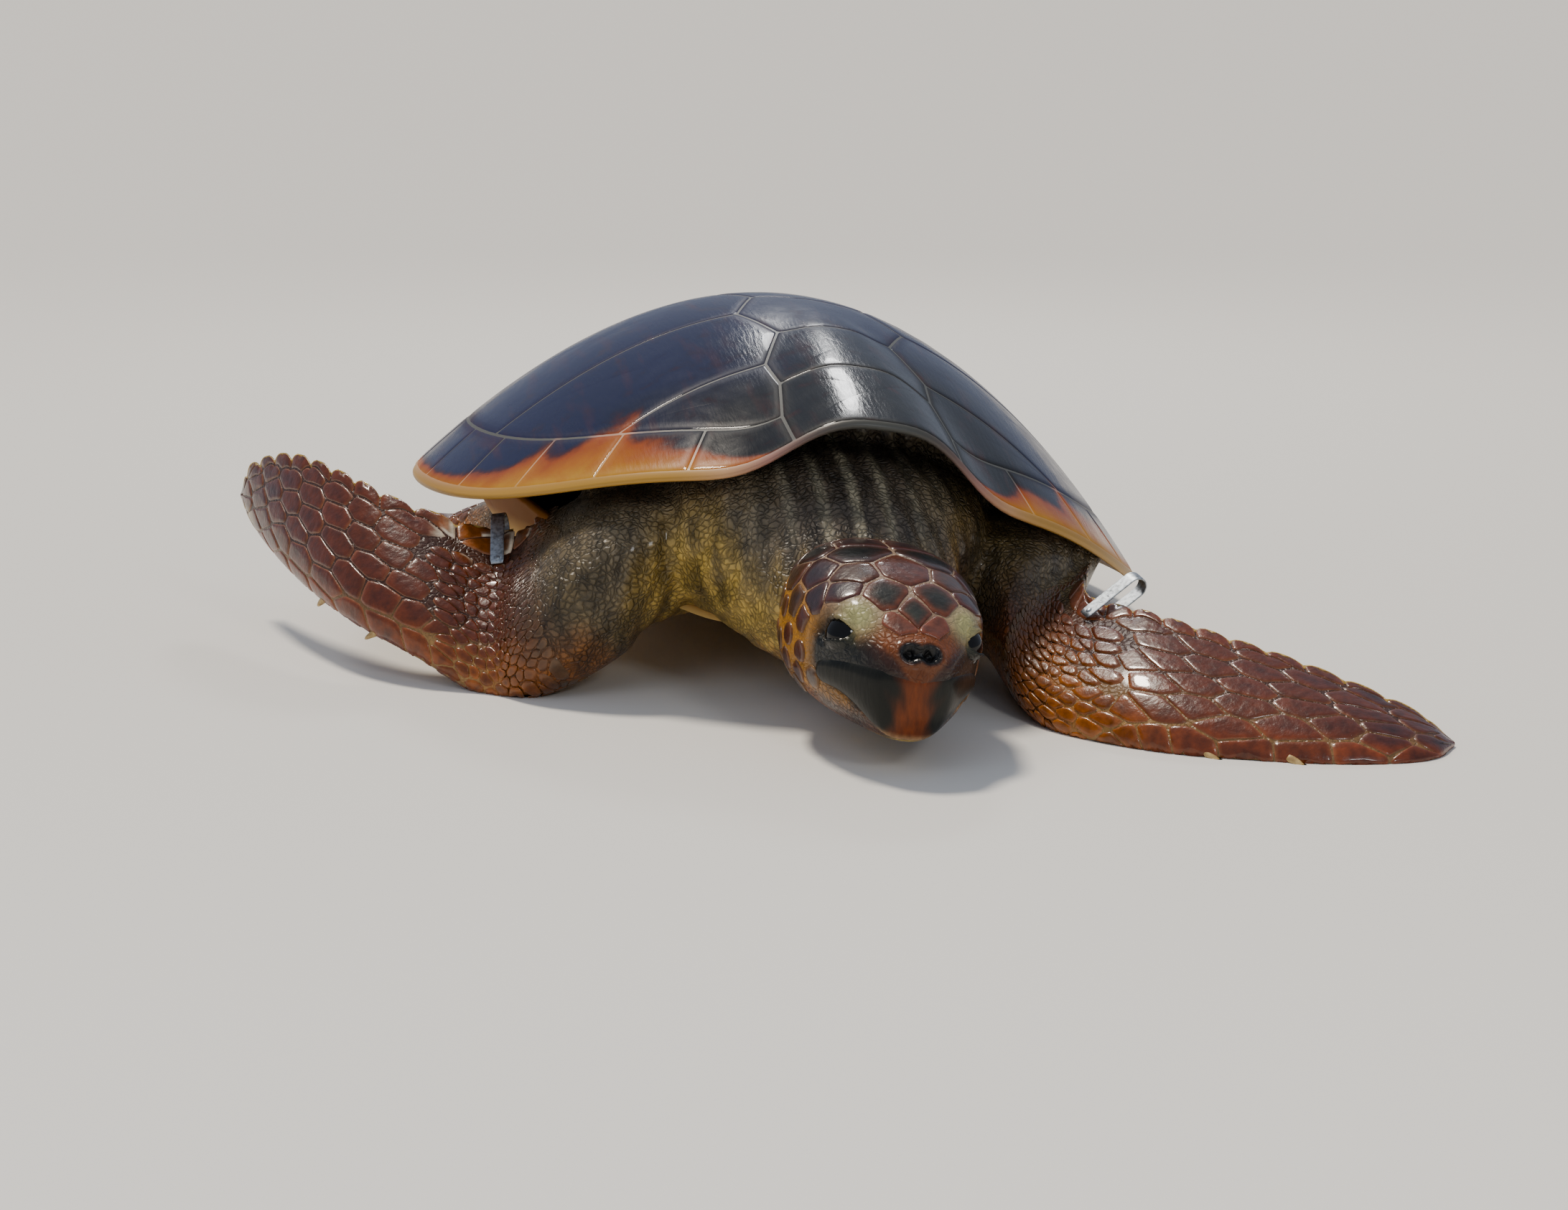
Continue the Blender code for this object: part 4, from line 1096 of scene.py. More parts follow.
def arm_blend(tints, points):
    """Gives the upper arms and thighs the limbs' own tones, by how near each point lies to them."""
    for limb in (fore_right, fore_left, hind_right, hind_left):
        distance = np.linspace(limb.reach(0.9), limb.reach(limb.wrist + 0.3), 60)
        middle = limb.at(distance, limb.middle) + SHIFT
        gap = np.linalg.norm(points[:, None] - middle[None], axis=-1)
        nearest = gap.argmin(axis=1)
        at = distance[nearest]
        chord = limb.at(at, limb.rows[:, 3:6] - limb.rows[:, :3])
        wide = np.linalg.norm(chord, axis=1)
        rel = points - middle[nearest]
        across = np.clip(np.einsum("ij,ij->i", rel, chord) / wide**2 + 0.5, 0, 1)
        above_it = np.einsum("ij,ij->i", rel, limb.at(at, limb.normal)) * limb.upper > -0.006
        lap = np.where(above_it == (limb.upper > 0), across, 2 - across)
        near = 1 - fade(gap.min(axis=1) / wide, 0.52, 0.85)
        near = near * fade(at, limb.reach(0.9), limb.reach(1.7))
        low = 1 - fade(points[:, 2] + 0.012 * np.sin(90 * points[:, 0]), 0.022, 0.050)
        tints = mix(tints, mix(limb_marking(limb, at, lap), ORANGE, 0.45 * low), near)
    return tints


SMOOTHEST = 0.35  # how wrinkled the skin is under the scales, beside the neck's 1
flesh_tint = arm_blend(body_marking(flesh), flesh)
head_tint = with_poles(head_marking(share[:, None] + 0 * angle_grid, angle_grid).reshape(-1, 3))
# Painted shade: the nostrils' pits and a narrow rim round them are tinted black.
nose = np.min([nostril_measure(head_local, side) for side in (1, -1)], axis=0).ravel()
nose = np.append(nose, [1.0, 1.0])
head_tint = mix(head_tint, NOSTRIL_SHADE_BLACK, 1 - fade(nose, 0.0052, 0.0072))
points, faces = joined([(flesh, [flesh_faces]), (head_points, head_faces), *blades])
tint = np.vstack([flesh_tint, head_tint, *limb_tints])
throat = np.abs(np.mod(angle_grid - math.pi / 2 + math.pi, 2 * math.pi) - math.pi)
head_rumple = SMOOTHEST + (1 - SMOOTHEST) * fade(throat, 1.75, 2.1)
head_rumple = np.append(head_rumple.ravel(), [SMOOTHEST, SMOOTHEST])
smooth_parts = len(points) - len(flesh) - len(head_points)
rumple = np.concatenate([np.ones(len(flesh)), head_rumple, np.full(smooth_parts, SMOOTHEST)])
skin = make_piece("skin", points, faces, skin_finish, {"tint": tint, "rumple": rumple})
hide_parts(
    "trunk", "neck", "head", "lower_jaw", "tail", "upper_arm_left", "upper_arm_right",
    "fore_flipper_left", "fore_flipper_right", "hind_flipper_left", "hind_flipper_right",
)


# The flipper scales: thin horn plates with soft edges, in long slanting rows down each blade, larger
# along both edges, and small and crowded at the wrist. A fine line of pale skin shows between them.

random = np.random.default_rng(11)

# Wet scale keratin: smooth, a little rippled and clouded, so the gleam on each scale is broken.
scale_finish, tree, shader = new_finish("wet_scale_keratin", 0.34, coat=0.42, coat_rough=0.07, specular=0.28)
place = add(tree, "TexCoord", out="Object")
tint = add(tree, "Attribute", attribute_name="tint")
cloud = add(tree, "TexNoise", {"Vector": place, "Scale": 150.0, "Detail": 5.0})  # 7 mm clouds
darker = add(tree, "MapRange", {0: cloud, 1: 0.3, 2: 0.7, 3: 0.6, 4: 1.3})
shade = add(tree, "VectorMath", {0: tint, "Scale": darker}, operation="SCALE")
tree.links.new(shade, shader.inputs["Base Color"])
ripple = add(tree, "TexNoise", {"Vector": place, "Scale": 210.0, "Detail": 4.0})  # 5 mm ripples
bump = add(tree, "Bump", {"Height": ripple, "Strength": 0.5, "Distance": 0.0012})
tree.links.new(bump, shader.inputs["Normal"])


def reaches(offsets, sides, limit, gap):
    """How far each plate reaches to every side: half way to the neighbours, less half the gap.

    The gap has two widths for each plate: to the next one along the row, and to the rows beside.
    Offsets are from each seed to all others, shape (seeds, seeds, 2). The reach in direction e is
    the least of |d|^2 / 2 d.e over the neighbours at d, and the corners are eased a little.
    """
    turn = round_turn(sides)
    ways = np.stack([np.cos(turn), np.sin(turn)], axis=-1)
    square = (offsets**2).sum(axis=-1)
    square = np.where(square < 1e-12, np.inf, square)
    reach = np.empty((len(offsets), sides))
    for number, way in enumerate(ways):
        ahead = offsets @ way
        reach[:, number] = np.where(ahead > 1e-9, square / np.maximum(2 * ahead, 1e-9), np.inf).min(axis=1)
    reach = np.minimum(reach, limit[:, None]) - gap @ (ways.T**2) / 2
    eased = (np.roll(reach, 1, axis=1) + 4 * reach + np.roll(reach, -1, axis=1)) / 6
    return np.maximum(np.minimum(eased, reach), 0.0003), ways


def scale_sheet(surface, seeds, per_lap, period, limit, gap, form, stretch=1.0):
    """Plates on a surface read by distance and lap: rings of each plate's reach, raised by the lifts.

    The form is the number of sides, the rings as shares of the reach and their lifts in skin depths.
    With a stretch the plates are fitted to each other as if the limb were that much shorter, which
    lays them end to end in straight rows. Gives the points, the faces turned outwards, and for each
    point its share of the reach, its seed's number and its offset from that seed in metres.
    """
    sides, rings, lifts = form
    count = len(seeds)
    offset = seeds[None] - seeds[:, None]
    offset[..., 1] = (offset[..., 1] + period / 2) % period - period / 2
    offset[..., 1] *= per_lap[:, None]
    offset[..., 0] /= stretch
    reach, ways = reaches(offset, sides, limit, gap)
    spread = np.array(rings)[:, None, None] * reach[:, None, :, None] * ways
    flat = np.concatenate([np.zeros((count, 1, 2)), spread.reshape(count, -1, 2)], axis=1) * (stretch, 1)
    spots = seeds[:, None] + flat / np.stack([np.ones(count), per_lap], axis=-1)[:, None]
    lift = np.append(lifts[0], np.repeat(lifts, sides)) * SKIN_DEPTH
    block = surface(spots[..., 0], spots[..., 1], lift + 0 * spots[..., 0])
    a = np.arange(sides)
    fan = np.stack([np.zeros_like(a), 1 + (a + 1) % sides, 1 + a], axis=-1)
    quads = grid_faces(len(rings), sides, closed=True, start=1)
    step = np.arange(count)[:, None, None] * block.shape[1]
    faces = [(fan + step).reshape(-1, 3), (quads + step).reshape(-1, 4)]
    second, third = block[:, fan[0][1]] - block[:, 0], block[:, fan[0][2]] - block[:, 0]
    raised = surface(seeds[:, 0], seeds[:, 1], np.full(count, 0.001)) - block[:, 0]
    if np.einsum("ij,ij->i", np.cross(second, third), raised).sum() < 0:
        faces = [part[:, ::-1] for part in faces]
    share = np.tile(np.append(0, np.repeat(rings, sides)), count)
    seed = np.repeat(np.arange(count), block.shape[1])
    return block.reshape(-1, 3), faces, share, seed, flat.reshape(-1, 2)


def kept_faces(faces, keep):
    """The faces of the points that are kept, with the points numbered anew."""
    number = np.cumsum(keep) - 1
    return [number[part[keep[part[:, 0]]]] for part in faces]


BAKE_PATCH = 0.003


def bake_map(piece, roots, seed, flat):
    """The map OFBake: each scale a small patch at its root's place on an unwrap of the skin."""
    low, high = roots.min(axis=0), roots.max(axis=0)
    place = 0.01 + 0.98 * (roots - low) / (high - low)
    span = np.abs(flat).max(axis=0)
    points = place[seed] + flat / span * BAKE_PATCH / 2
    layer = piece.data.uv_layers.new(name="OFBake")
    corners = np.empty(len(piece.data.loops), dtype=np.int32)
    piece.data.loops.foreach_get("vertex_index", corners)
    layer.data.foreach_set("uv", points[corners].astype(np.float32).ravel())


MAHOGANY, PLUM, RUST = colour("#58240a"), colour("#2a1010"), colour("#80380f")
TAN, AMBER, STRAW = colour("#a9744a"), colour("#9c5810"), colour("#b0903e")
UMBER, WHITE_RIM = colour("#45281a"), colour("#d9cbb2")
LARGE_FORM = (36, (0.35, 0.65, 0.84, 0.94, 1.0), (0.0, 0.0, -0.10, -0.45, -1.30))
SMALL_FORM = (12, (0.6, 0.88, 1.0), (0.3, 0.1, -1.20))  # sides, rings and their lifts
ROW_STRETCH = 1.7
GROWN_IN = 0.035  # length over which the first scales rise out of the skin
ROOT_DEPTH = 0.0012  # how deep they start


def blade_marking(limb, distance, lap, share, luck, shoulder_side):
    """A scale's colour: mahogany, plum in the middle and to the tip, rust and amber at the edges.

    The raised flipper has pale rims on its folds by the tag and a pale worn patch near its tip.
    """
    across, face = limb.side(lap)
    along = (distance - limb.reach(limb.wrist)) / (limb.length - limb.reach(limb.wrist))
    plum = 0.75 * fade(along, 0.35, 1.0) * luck + 0.55 * (1 - share) * fade(luck, 0.2, 0.8)
    tone = mix(MAHOGANY, PLUM, np.clip(plum, 0, 1))
    lead = 1 - fade(across, 0.03, 0.26)
    trail = fade(across, 0.90, 0.99)
    tone = mix(tone, mix(RUST, AMBER, 1 - fade(along, -0.1, 0.35)), 0.75 * lead * (0.35 + 0.65 * share))
    tone = mix(tone, RUST, 0.4 * trail * share)
    honey = (limb is fore_left) * (1 - fade(along, -0.05, 0.30)) * (1 - fade(across, 0.35, 0.75))
    tone = mix(tone, AMBER, 0.75 * honey * (0.4 + 0.6 * share))
    tone = mix(tone, UMBER, 0.55 * (1 - fade(along, -0.15, 0.05)) * (1 - lead))
    tone = tone * (0.75 + 0.5 * luck)[..., None]
    under = np.where(face * limb.upper > 0, 0.0, 0.85 * fade(across, 0.02, 0.12))
    tone = mix(tone, mix(STRAW, AMBER, 0.4 * luck), under)
    folds = fade(along, -0.30, -0.26) * (1 - fade(along, 0.12, 0.16)) * fade(across, 0.70, 0.80)
    folds = folds * (limb is fore_right)
    tone = mix(tone, mix(MAHOGANY, AMBER, 0.6), 0.7 * folds)
    tone = mix(tone, WHITE_RIM, folds * shoulder_side * fade(share, 0.60, 0.78))
    scar = (limb is fore_right) * fade(along, 0.84, 0.90) * (1 - fade(across, 0.25, 0.40))
    tone = mix(tone, mix(WHITE_RIM, STRAW, 0.4) * 0.8, 0.9 * scar)
    return mix(tone, TAN, 0.45 * fade(share, 0.90, 1.0))


def blade_seeds(limb, first, last, gap_across, slant, step):
    """Rows of seeds slanting back across the blade's upper face, with a row along each edge."""
    start, end = limb.reach(first), limb.reach(last)
    seeds = []

    def row(top, kind, length, beginning):
        """One row, its scales smaller at the wrist, each a little out of its place."""
        at = beginning
        while at < end:
            place = top + (slant * (at - start) / (end - start) if kind == "slanting" else 0)
            grown = length * (0.52 + 0.48 * fade(at, start, start + 0.055))
            if kind != "slanting" or 0.15 < place < 0.91:
                across = place + random.uniform(-0.008, 0.008)
                lap = limb.top(across) if kind != "under" else 2 - limb.top(across)
                seeds.append((at, lap, grown))
            at += grown * random.uniform(0.86, 1.14)

    for number in range(-8, int(1 / gap_across)):
        row(0.20 + gap_across * number, "slanting", step, start + step * ((number * 0.618) % 1.0))
    row(0.045, "leading", step * 0.95, start)
    for across in np.arange(0.17, 0.9, gap_across * 1.5):
        row(across, "under", step, start + step * ((across * 9) % 1.0))
    tooth = limb.reach(limb.wrist) + limb.pitch / 2
    seeds += [(at, limb.top(0.975), step) for at in np.arange(tooth, end, limb.pitch)]
    folds = np.arange(tooth - limb.pitch / 2, limb.reach(limb.wrist - 0.9), -0.8 * limb.pitch)
    return seeds + [(at, limb.top(0.90), step) for at in folds]


def crowd_seeds(limb, first, last, size):
    """Small crowded seeds in staggered lines round the limb."""
    seeds = []
    at, line = limb.reach(first), 0
    while at < limb.reach(last):
        step = size(np.interp(at, limb.distance, limb.where))
        count = max(int(round(2 * limb.chord(at) / step)), 3)
        laps = (np.arange(count) + 0.5 * (line % 2) + random.uniform(-0.25, 0.25, count)) * 2 / count
        along = at + random.uniform(-0.25, 0.25, count) * step
        clear_of_edge = np.abs(limb.top(laps) % 2 - 0.93) > 0.20
        kept = clear_of_edge | (at < limb.reach(limb.wrist - 0.8))
        seeds += [(place, lap, step) for place, lap in zip(along[kept], laps[kept])]
        at += step * 0.87
        line += 1
    return seeds


def limb_scales(name, limb, large, small):
    """One piece of a limb's scales: the large plates of the blade and the small ones of the wrist."""
    every = np.array(large + small)
    seeds, sizes = every[:, :2], every[:, 2]
    luck = random.random(len(seeds))
    per_lap = limb.chord(seeds[:, 0])
    begin = seeds[:, 0].min()
    parts, tints, roots, offsets = [], [], [], []

    def settled(distance, lap, lift):
        """The limb's surface, where the first scales are still sunk in the skin."""
        sunk = 1 - fade(distance, begin, begin + GROWN_IN)
        return limb.place(distance, lap, np.minimum(lift, lift * (1 - sunk)) - ROOT_DEPTH * sunk)

    is_large = np.arange(len(seeds)) < len(large)
    limit = sizes * np.where(is_large, 0.9, 0.62)
    gap = np.stack([0.0002 + 0.004 * sizes, 0.0004 + 0.030 * sizes], axis=-1)
    for chosen, form in ((is_large, LARGE_FORM), (~is_large, SMALL_FORM)):
        sheet = scale_sheet(settled, seeds, per_lap, 2, limit, gap, form, ROW_STRETCH)
        points, faces, share, seed, flat = sheet
        keep = chosen[seed]
        faces = kept_faces(faces, keep)
        spot = seeds[seed] + flat / np.stack([np.ones(len(seed)), per_lap[seed]], axis=-1)
        shoulder_side = flat[:, 0] < -0.3 * np.abs(flat[:, 1])
        tint = blade_marking(limb, spot[:, 0], spot[:, 1], share, luck[seed], shoulder_side)
        arm_like = (1 - fade(seeds[seed, 0], begin, begin + 0.045)) * (0.6 + 0.4 * luck[seed])
        tint = mix(tint, limb_marking(limb, spot[:, 0], spot[:, 1]) * 0.9, arm_like)
        parts.append((np.clip(above(points[keep]), *CAD_BOX), faces))
        tints.append(tint[keep])
        roots.append(seed[keep])
        offsets.append(flat[keep])
    points, faces = joined(parts)
    made = make_piece(name, points, faces, scale_finish, {"tint": np.vstack(tints)})
    bake_map(made, seeds, np.concatenate(roots), np.vstack(offsets))


for label, limb in (("right", fore_right), ("left", fore_left)):
    large = blade_seeds(limb, 3.68, 7.85, 0.165, 0.42, 0.036)
    growth = 0.0075 if limb is fore_left else 0.0042
    small = crowd_seeds(limb, 2.0, 3.65, lambda station: 0.0052 + growth * (station - 2.0))
    limb_scales(f"scales_fore_{label}", limb, large, small)
for label, limb in (("right", hind_right), ("left", hind_left)):
    large = blade_seeds(limb, 2.5, 4.9, 0.16, 0.25, 0.016)
    small = crowd_seeds(limb, 1.1, 2.4, lambda station: 0.0075)
    limb_scales(f"scales_hind_{label}", limb, large, small)


# The head's plates: large, smooth and symmetrical, fitted edge to edge on the crown, with smaller
# dark ones spaced out over the amber cheeks. Fine pale seams part them.

HEAD_TONES = {
    "russet": "#4a2416", "moss": "#1e1c12", "slate": "#2a2a22", "clay": "#5a3020", "plum": "#261518",
    "ink": "#121414", "umber": "#38200f", "blood": "#42170b", "grey": "#332c24",
}
HEAD_SEEDS = (  # share of the length, degrees from the crown's middle, tone; with none, bare skin
    (0.52, 0, "russet"), (0.70, 15, "moss"), (0.785, 0, "slate"), (0.85, 13, "clay"),
    (0.54, 30, "umber"), (0.61, 42, "plum"), (0.36, 20, "ink"), (0.19, 14, "plum"), (0.19, 42, "ink"),
    (0.41, 50, "plum"), (0.26, 66, "umber"), (0.08, 30, "grey"), (0.07, 58, "grey"),
    (0.09, 84, "umber"), (0.05, 4, "grey"), (0.53, 64, "plum"), (0.51, 80, "blood"),
    (0.53, 96, "blood"), (0.40, 76, "umber"), (0.41, 92, "blood"), (0.30, 84, "blood"),
    (0.29, 101, "umber"), (0.39, 109, "blood"), (0.18, 84, "umber"), (0.17, 103, "blood"),
    (0.23, 118, "umber"), (0.12, 120, "umber"), (0.51, 112, "blood"), (0.63, 108, "umber"),
    (0.33, 124, "umber"), (0.46, 126, "umber"), (0.755, 44, ""), (0.70, 66, ""), (0.70, 86, ""),
    (0.90, 34, ""), (0.935, 10, ""), (0.80, 100, ""), (0.84, 70, ""), (0.56, 134, ""), (0.20, 140, ""),
    (0.36, 142, ""), (0.60, 84, ""),
)


CROWN_FORM = (40, (0.3, 0.6, 0.82, 0.92, 0.97, 1.0), (0.35, 0.35, 0.25, 0.0, -0.5, -1.3))


def crown_place(distance, lap, lift):
    """The head's surface, read by distance along it and by the even way round it."""
    share = np.clip(distance / HEAD_LENGTH, 0.012, 0.99)
    return head_place(*np.moveaxis(head_surface(share, angle_of(lap), lift), -1, 0))


listed = [
    (share, degrees * side, tone)
    for share, degrees, tone in HEAD_SEEDS for side in ((1, -1) if degrees else (1,))
]
where = np.array([(share, degrees) for share, degrees, _ in listed])
seeds = np.stack([where[:, 0] * HEAD_LENGTH, arc_of(math.pi / 2 - np.radians(where[:, 1]))], axis=-1)
away = np.abs(where[:, 1])
wide, high, deep = head_size(seeds[:, 0] / HEAD_LENGTH)
per_lap = 1.07 * (wide / 2 + (high + deep) / 4)
cheek = fade(away, 62, 84)
limit, gap = 0.030 - 0.0205 * cheek, (0.0011 + 0.0024 * cheek)[:, None] * (1, 1)
sheet = scale_sheet(crown_place, seeds, per_lap, 2 * math.pi, limit, gap, CROWN_FORM)
points, faces, share, seed, flat = sheet
drawn = np.array([bool(tone) for _, _, tone in listed])[seed]
faces = kept_faces(faces, drawn)
points, share, seed, flat = points[drawn], share[drawn], seed[drawn], flat[drawn]
base = np.array([colour(HEAD_TONES[tone or "grey"]) for _, _, tone in listed])[seed]
rim_tone = mix(colour("#7d3a1c"), CHEEK, cheek[seed])
rim_share = 0.20 + 0.40 * fade(seeds[seed, 0] / HEAD_LENGTH, 0.55, 0.75)
tint = mix(base, rim_tone, rim_share * fade(share, 0.45, 1.0))
head_scales = make_piece("scales_head", above(points), faces, scale_finish, {"tint": tint})
bake_map(head_scales, seeds, seed, flat)


# The eyes: dark wet balls set deep behind the lids.

# Wet eye: near black and smooth as glass, with one sharp gleam.
eye_finish, tree, shader = new_finish("wet_eye", 0.08, coat=0.15, coat_rough=0.02, specular=0.25)
shader.inputs["Base Color"].default_value = (*colour("#070504"), 1)
for side, label in ((1, "left"), (-1, "right")):
    centre, axis, ahead, upward = eye_frame(side)
    slant = np.linspace(0.02, math.pi - 0.02, 40)[:, None]
    around = round_turn(64)
    rings = centre + EYE_RADIUS * (
        np.cos(slant)[..., None] * axis
        + (np.sin(slant) * np.cos(around))[..., None] * ahead
        + (np.sin(slant) * np.sin(around))[..., None] * upward
    )
    points, faces = closed_loft(head_place(*np.moveaxis(rings, -1, 0)))
    ball = make_piece(f"eyeball_{label}", points, faces, eye_finish)
    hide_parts(f"eye_{label}")


# The beak: a thick horn sheath on each jaw, the upper one hooked a little over the lower. Each is
# a curved plate carried round the snout from one side to the other, closed behind by its own back.

BEAK_SHEET = 0.0034
BEAK_ROUNDING = 0.0030  # how far its edges draw in

# Worn beak keratin: smooth horn with a soft gleam, streaked down its length.
beak_finish, tree, shader = new_finish("worn_beak_keratin", 0.42, coat=0.14, coat_rough=0.12, specular=0.2)
place = add(tree, "TexCoord", out="Object")
tint = add(tree, "Attribute", attribute_name="tint")
streaks = add(tree, "Mapping", {"Vector": place, "Scale": (320.0, 320.0, 60.0)})  # 3 by 17 mm
streak = add(tree, "TexNoise", {"Vector": streaks, "Scale": 1.0, "Detail": 4.0})
darker = add(tree, "MapRange", {0: streak, 1: 0.3, 2: 0.7, 3: 0.65, 4: 1.3})
shade = add(tree, "VectorMath", {0: tint, "Scale": darker}, operation="SCALE")
tree.links.new(shade, shader.inputs["Base Color"])
bump = add(tree, "Bump", {"Height": streak, "Strength": 0.3, "Distance": 0.0012})
tree.links.new(bump, shader.inputs["Normal"])


def snout_path(up, back_share, count, lift):
    """Level lines round the snout at given heights: from the right side, round the tip, to the left.

    On each line the head's half breadth is that of its oval section at this height, and the line
    closes where the section is no taller than the height.
    """
    shares = np.linspace(back_share, 0.99995, 400)
    wide, high, deep = (size + lift for size in head_size(shares))
    tall = np.maximum(np.where(up[:, None] > 0, high[None], deep[None]), 1e-6)
    inside = 1 - (np.abs(up[:, None]) / tall) ** HEAD_EXPONENT
    half = wide[None] * np.maximum(inside, 0) ** (1 / HEAD_EXPONENT)
    way_round = np.linspace(-1, 1, count)
    rows = []
    for line in range(len(up)):
        tip = int(np.argmax(inside[line] <= 0)) or len(shares) - 1
        way = np.stack([shares[: tip + 1] * HEAD_LENGTH, half[line, : tip + 1]], axis=-1)
        way[-1, 1] = 0
        steps = np.append(0, np.cumsum(np.linalg.norm(np.diff(way, axis=0), axis=1)))
        read = steps[-1] * (1 - np.abs(way_round))
        forward = np.interp(read, steps, way[:, 0])
        out = np.interp(read, steps, way[:, 1]) * np.sign(way_round)
        rows.append(np.stack([forward, out, np.full(count, up[line])], axis=-1))
    return np.array(rows)


def sheath(name, top, bottom, back_share, lift, node, tones, rows=36, count=141):
    """A beak plate between two heights, each a function of how far round the line is (0 in front)."""
    level = np.linspace(0, 1, rows)
    lines = snout_path(top(0.0) + (bottom(0.0) - top(0.0)) * level, back_share, count, lift)
    sideways = np.abs(np.linspace(-1, 1, count))
    lines[..., 2] = top(sideways) + (bottom(sideways) - top(sideways)) * level[:, None]
    normal = unit(np.cross(np.gradient(lines, axis=1), np.gradient(lines, axis=0)))
    outward = lines - (0.5 * HEAD_LENGTH, 0, 0)
    normal = normal * np.sign(np.einsum("ijk,ijk->ij", normal, outward))[..., None]
    inner = lines - normal * BEAK_SHEET
    rim = np.minimum(np.minimum(level / 0.28, (1 - level) / 0.10)[:, None], 1)
    rim = rim * np.minimum((1 - sideways) / 0.08, 1)
    lines = lines - normal * (BEAK_ROUNDING * (1 - np.sqrt(rim * (2 - rim))))[..., None]
    middle, side, edge = (colour(tone) for tone in tones)
    strayed = sideways + 0.05 * np.sin(9 * level + 2)[:, None] * np.sin(23 * sideways + 5 * level[:, None])
    tint = mix(middle, side, fade(strayed, 0.03, 0.22))
    tint = mix(tint, edge, 0.9 * fade(level, 0.86, 0.97)[:, None] * (1 - 0.7 * fade(sideways, 0.1, 0.5)))
    tint = np.concatenate([tint, tint[::-1]], axis=0).transpose(1, 0, 2).reshape(-1, 3)
    rings = np.concatenate([lines, inner[::-1]], axis=0).transpose(1, 0, 2)
    points, faces = closed_loft(head_place(*np.moveaxis(rings, -1, 0)))
    made = make_piece(name, points, faces, beak_finish, {"tint": with_poles(tint)})
    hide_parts(node)


sheath(
    "beak_upper",
    lambda t: 0.0125 - 0.016 * t**2,
    lambda t: -0.0345 + 0.0130 * fade(t, 0.05, 0.8),
    0.66, 0.0012, "upper_beak", ("#642c08", "#0d0e08", "#a8845c"),
)
sheath(
    "beak_lower",
    lambda t: -0.0300 + 0.0125 * fade(t, 0.05, 0.8),
    lambda t: -0.0370 + 0.0100 * t**2,
    0.70, -0.0016, "lower_beak", ("#5c3010", "#24160c", "#6a4c20"),
)


# The flipper tags: a strip of metal bent double round each front flipper's trailing edge, its end
# closed with a rivet. Each is stamped with a plain number.

TAG_LEG = 0.038
TAG_WIDTH = 0.0095
TAG_SHEET = 0.0012
FIGURE_SIZE = 0.0062
FIGURE_RELIEF = 0.00012
FIGURE_PLACE = 0.50  # share of the leg from the bend
RIVET_PLACE = 0.88
RIVET_RADIUS = 0.0021
RIVET_RISE = 0.0010
RIVET_SUNK = 0.0003

# Worn tag steel: grey metal dulled by salt, with a blurred gleam.
tag_finish, tree, shader = new_finish("worn_tag_steel", 0.5, metal=1.0)
place = add(tree, "TexCoord", out="Object")
wear = add(tree, "TexNoise", {"Vector": place, "Scale": 420.0, "Detail": 4.0})  # 2.4 mm spots
steel = [(0.35, "#8a9096"), (0.55, "#b4bcc4"), (0.8, "#ccd2d8")]
steel_tone = add(tree, "ValToRGB", {"Fac": wear}, steel)
tree.links.new(steel_tone, shader.inputs["Base Color"])
rough = add(tree, "MapRange", {0: wear, 3: 0.38, 4: 0.60})
tree.links.new(rough, shader.inputs["Roughness"])


def edge_frame(limb, station):
    """The leading and trailing edges at a station, and the way the limb runs on there."""
    row = limb.at(limb.reach(station), limb.rows)
    behind, ahead = (limb.at(limb.reach(station + step), limb.middle) for step in (-0.25, 0.25))
    return row[:3], row[3:6], ahead - behind


def stamped(digits, size, height):
    """Raised figures as points and triangles, centred on the origin in the plane of x and y."""
    text = bpy.data.curves.new("figures", "FONT")
    text.body = digits
    text.size = size
    text.extrude = height
    text.align_x = "CENTER"
    text.align_y = "CENTER"
    text.resolution_u = 3
    holder = bpy.data.objects.new("figures", text)
    bpy.context.scene.collection.objects.link(holder)
    points, _, faces = mesh_arrays(taken(holder))
    bpy.data.objects.remove(holder)
    return points, [faces]


